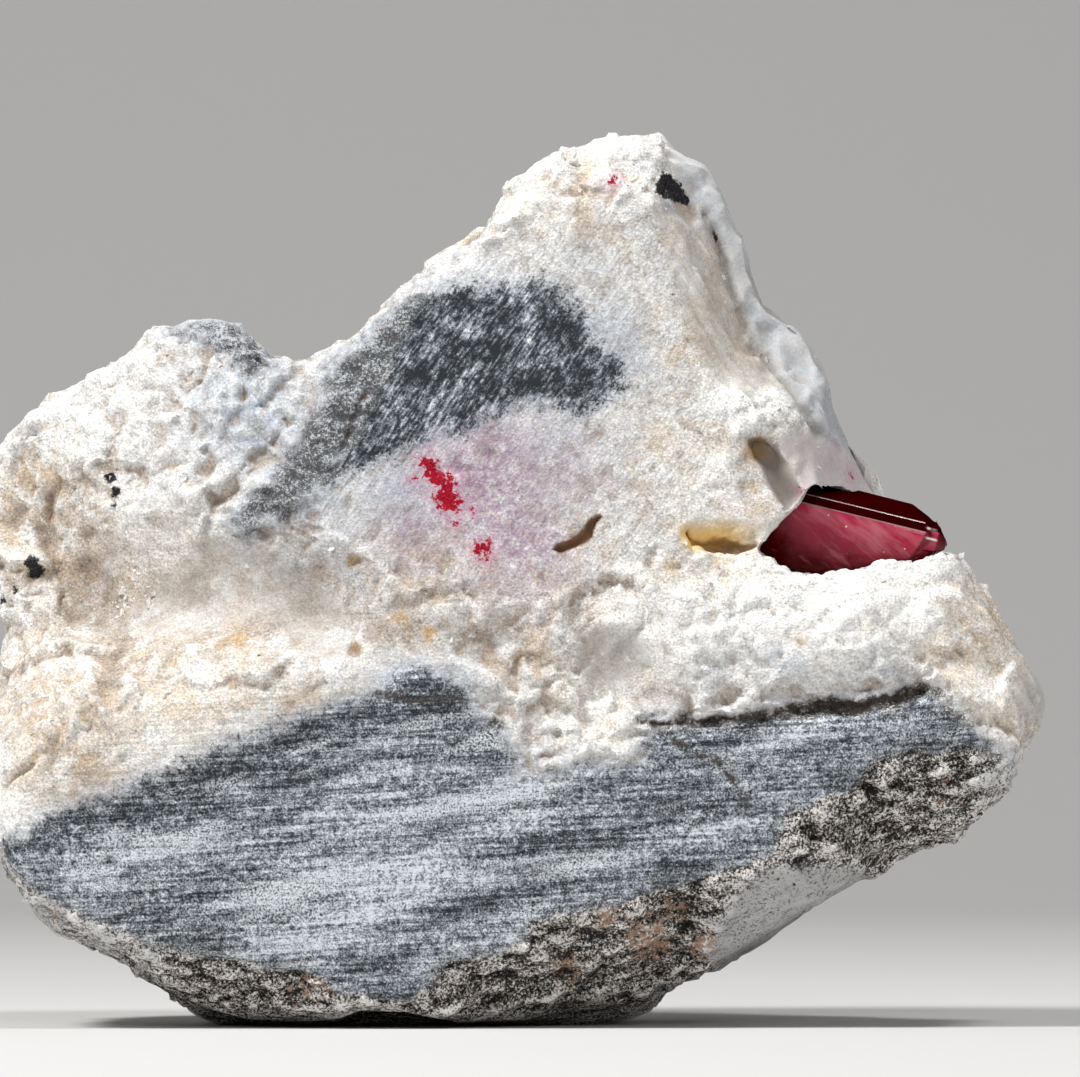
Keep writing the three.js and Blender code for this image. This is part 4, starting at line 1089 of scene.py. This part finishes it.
cinnabar_mesh = mesh_of_node("cinnabar_crystal")
cinnabar_mesh.materials.clear()
for look in (
    cinnabar_look("cinnabar", (0, 0, 0), 0, 0.02, 0.05, 0.05),
    # Painted dark, as reflection and shade, on the top faces and the band.
    cinnabar_look("cinnabar_painted_dark_reflection", (0.014, 0.0003, 0.0006), 0.82, 0, 0.1, 0),
    # Painted highlights on the top edges.
    cinnabar_look("cinnabar_painted_edge_highlights", (0.27, 0.19, 0.2), 0.85, 0.15, 0.2, 0),
):
    cinnabar_mesh.materials.append(look)
BODY, DARK_REFLECTION, EDGE_HIGHLIGHTS = range(3)
cinnabar_mesh.shade_smooth()
# The bevel's faces get the painted highlight material.
rounded_edges = dict(
    width=0.06, segments=2, limit_method="ANGLE", angle_limit=math.radians(14),
    harden_normals=True, material=EDGE_HIGHLIGHTS, use_clamp_overlap=False)
cinnabar_mesh = shaped(cinnabar_mesh, "cinnabar", ("BEVEL", rounded_edges))
front_face = []
for polygon in cinnabar_mesh.polygons:
    middle = polygon.center
    height = UP[0] * middle.x + UP[2] * middle.z
    in_front = middle.y < FRONT and middle.x < END
    bright_edge = in_front and TOP_EDGES[0] < height < TOP_EDGES[1]
    if polygon.material_index == EDGE_HIGHLIGHTS and not bright_edge:
        polygon.material_index = BODY
    on_band = in_front and DARK_BAND[0] < height < DARK_BAND[1]
    if polygon.material_index == BODY and (polygon.normal.z > 0.3 or on_band):
        polygon.material_index = DARK_REFLECTION
    front_face.append(max(0, -polygon.normal.y) ** 4 if polygon.material_index == BODY else 0)
attach(cinnabar_mesh, "front_face", front_face, "FACE")
cinnabar_mesh.transform(Matrix.Scale(MM, 4))
cinnabar = placed("cinnabar", cinnabar_mesh)
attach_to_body(cinnabar, "root")
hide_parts("cinnabar_crystal")

# ==== Floor, light and camera ====
# A pale sweep of paper that rises far behind the stone, three soft lights and a level camera.
# None of them belongs to the specimen.

sweep = bpy.data.meshes.new("floor")
BEND = 0.3
profile = [(-1.5, 0), (BEND, 0)]
for angle in np.linspace(0.1, math.pi / 2, 14):
    profile.append((BEND + BEND * math.sin(angle), BEND - BEND * math.cos(angle)))
profile.append((2 * BEND, 1.2))
corners = [(side, along, up) for along, up in profile for side in (-1.4, 1.4)]
faces = [(2 * i, 2 * i + 1, 2 * i + 3, 2 * i + 2) for i in range(len(profile) - 1)]
sweep.from_pydata(corners, [], faces)
sweep.shade_smooth()
floor = placed("floor", sweep)
paper, surface = new_look("pale_paper")
give(surface, {"Base Color": (0.66, 0.65, 0.64, 1), "Roughness": 0.9})
# The sweep is seen only from its front, so it never hides the stone's back.
behind = shader("NewGeometry").outputs["Backfacing"]
see_through = shader("BsdfTransparent").outputs[0]
one_sided = shader("MixShader", {0: behind, 1: surface.outputs[0], 2: see_through}).outputs[0]
give(tree.nodes["Material Output"], {"Surface": one_sided})
sweep.materials.append(paper)

world = bpy.data.worlds.new("room")
world.use_nodes = True
give(world.node_tree.nodes["Background"], {"Color": (0.93, 0.96, 1, 1), "Strength": 0.2})
bpy.context.scene.world = world

STONE_MIDDLE = 0.028


def soft_light(name, place, power, size, tint):
    """A square light panel turned towards the stone."""
    panel = bpy.data.lights.new(name, "AREA")
    panel.energy = power
    panel.size = size
    panel.color = tint
    holder = placed(name, panel)
    holder.location = place
    away = Vector(place) - Vector((0, 0, STONE_MIDDLE))
    holder.rotation_euler = away.to_track_quat("Z", "Y").to_euler()


soft_light("key", (-0.24, -0.15, 0.4), 2, 0.1, (1, 0.99, 0.975))
soft_light("fill", (0.1, -0.52, 0.24), 0.36, 0.12, (0.96, 0.98, 1))
soft_light("top", (0.13, -0.12, 0.46), 0.95, 0.1, (1, 1, 1))
bpy.context.scene.view_settings.view_transform = "Standard"

CAMERA_AWAY = 1
FRAME_WIDTH = 0.06696  # across the picture, at the middle of the stone
lens = bpy.data.cameras.new("camera")
lens.sensor_width = 36
lens.lens = 36 * CAMERA_AWAY / FRAME_WIDTH
camera = placed("camera", lens)
camera.location = (0.00192, -CAMERA_AWAY, 0.02998)
camera.rotation_euler = (math.pi / 2, 0, 0)
bpy.context.scene.camera = camera
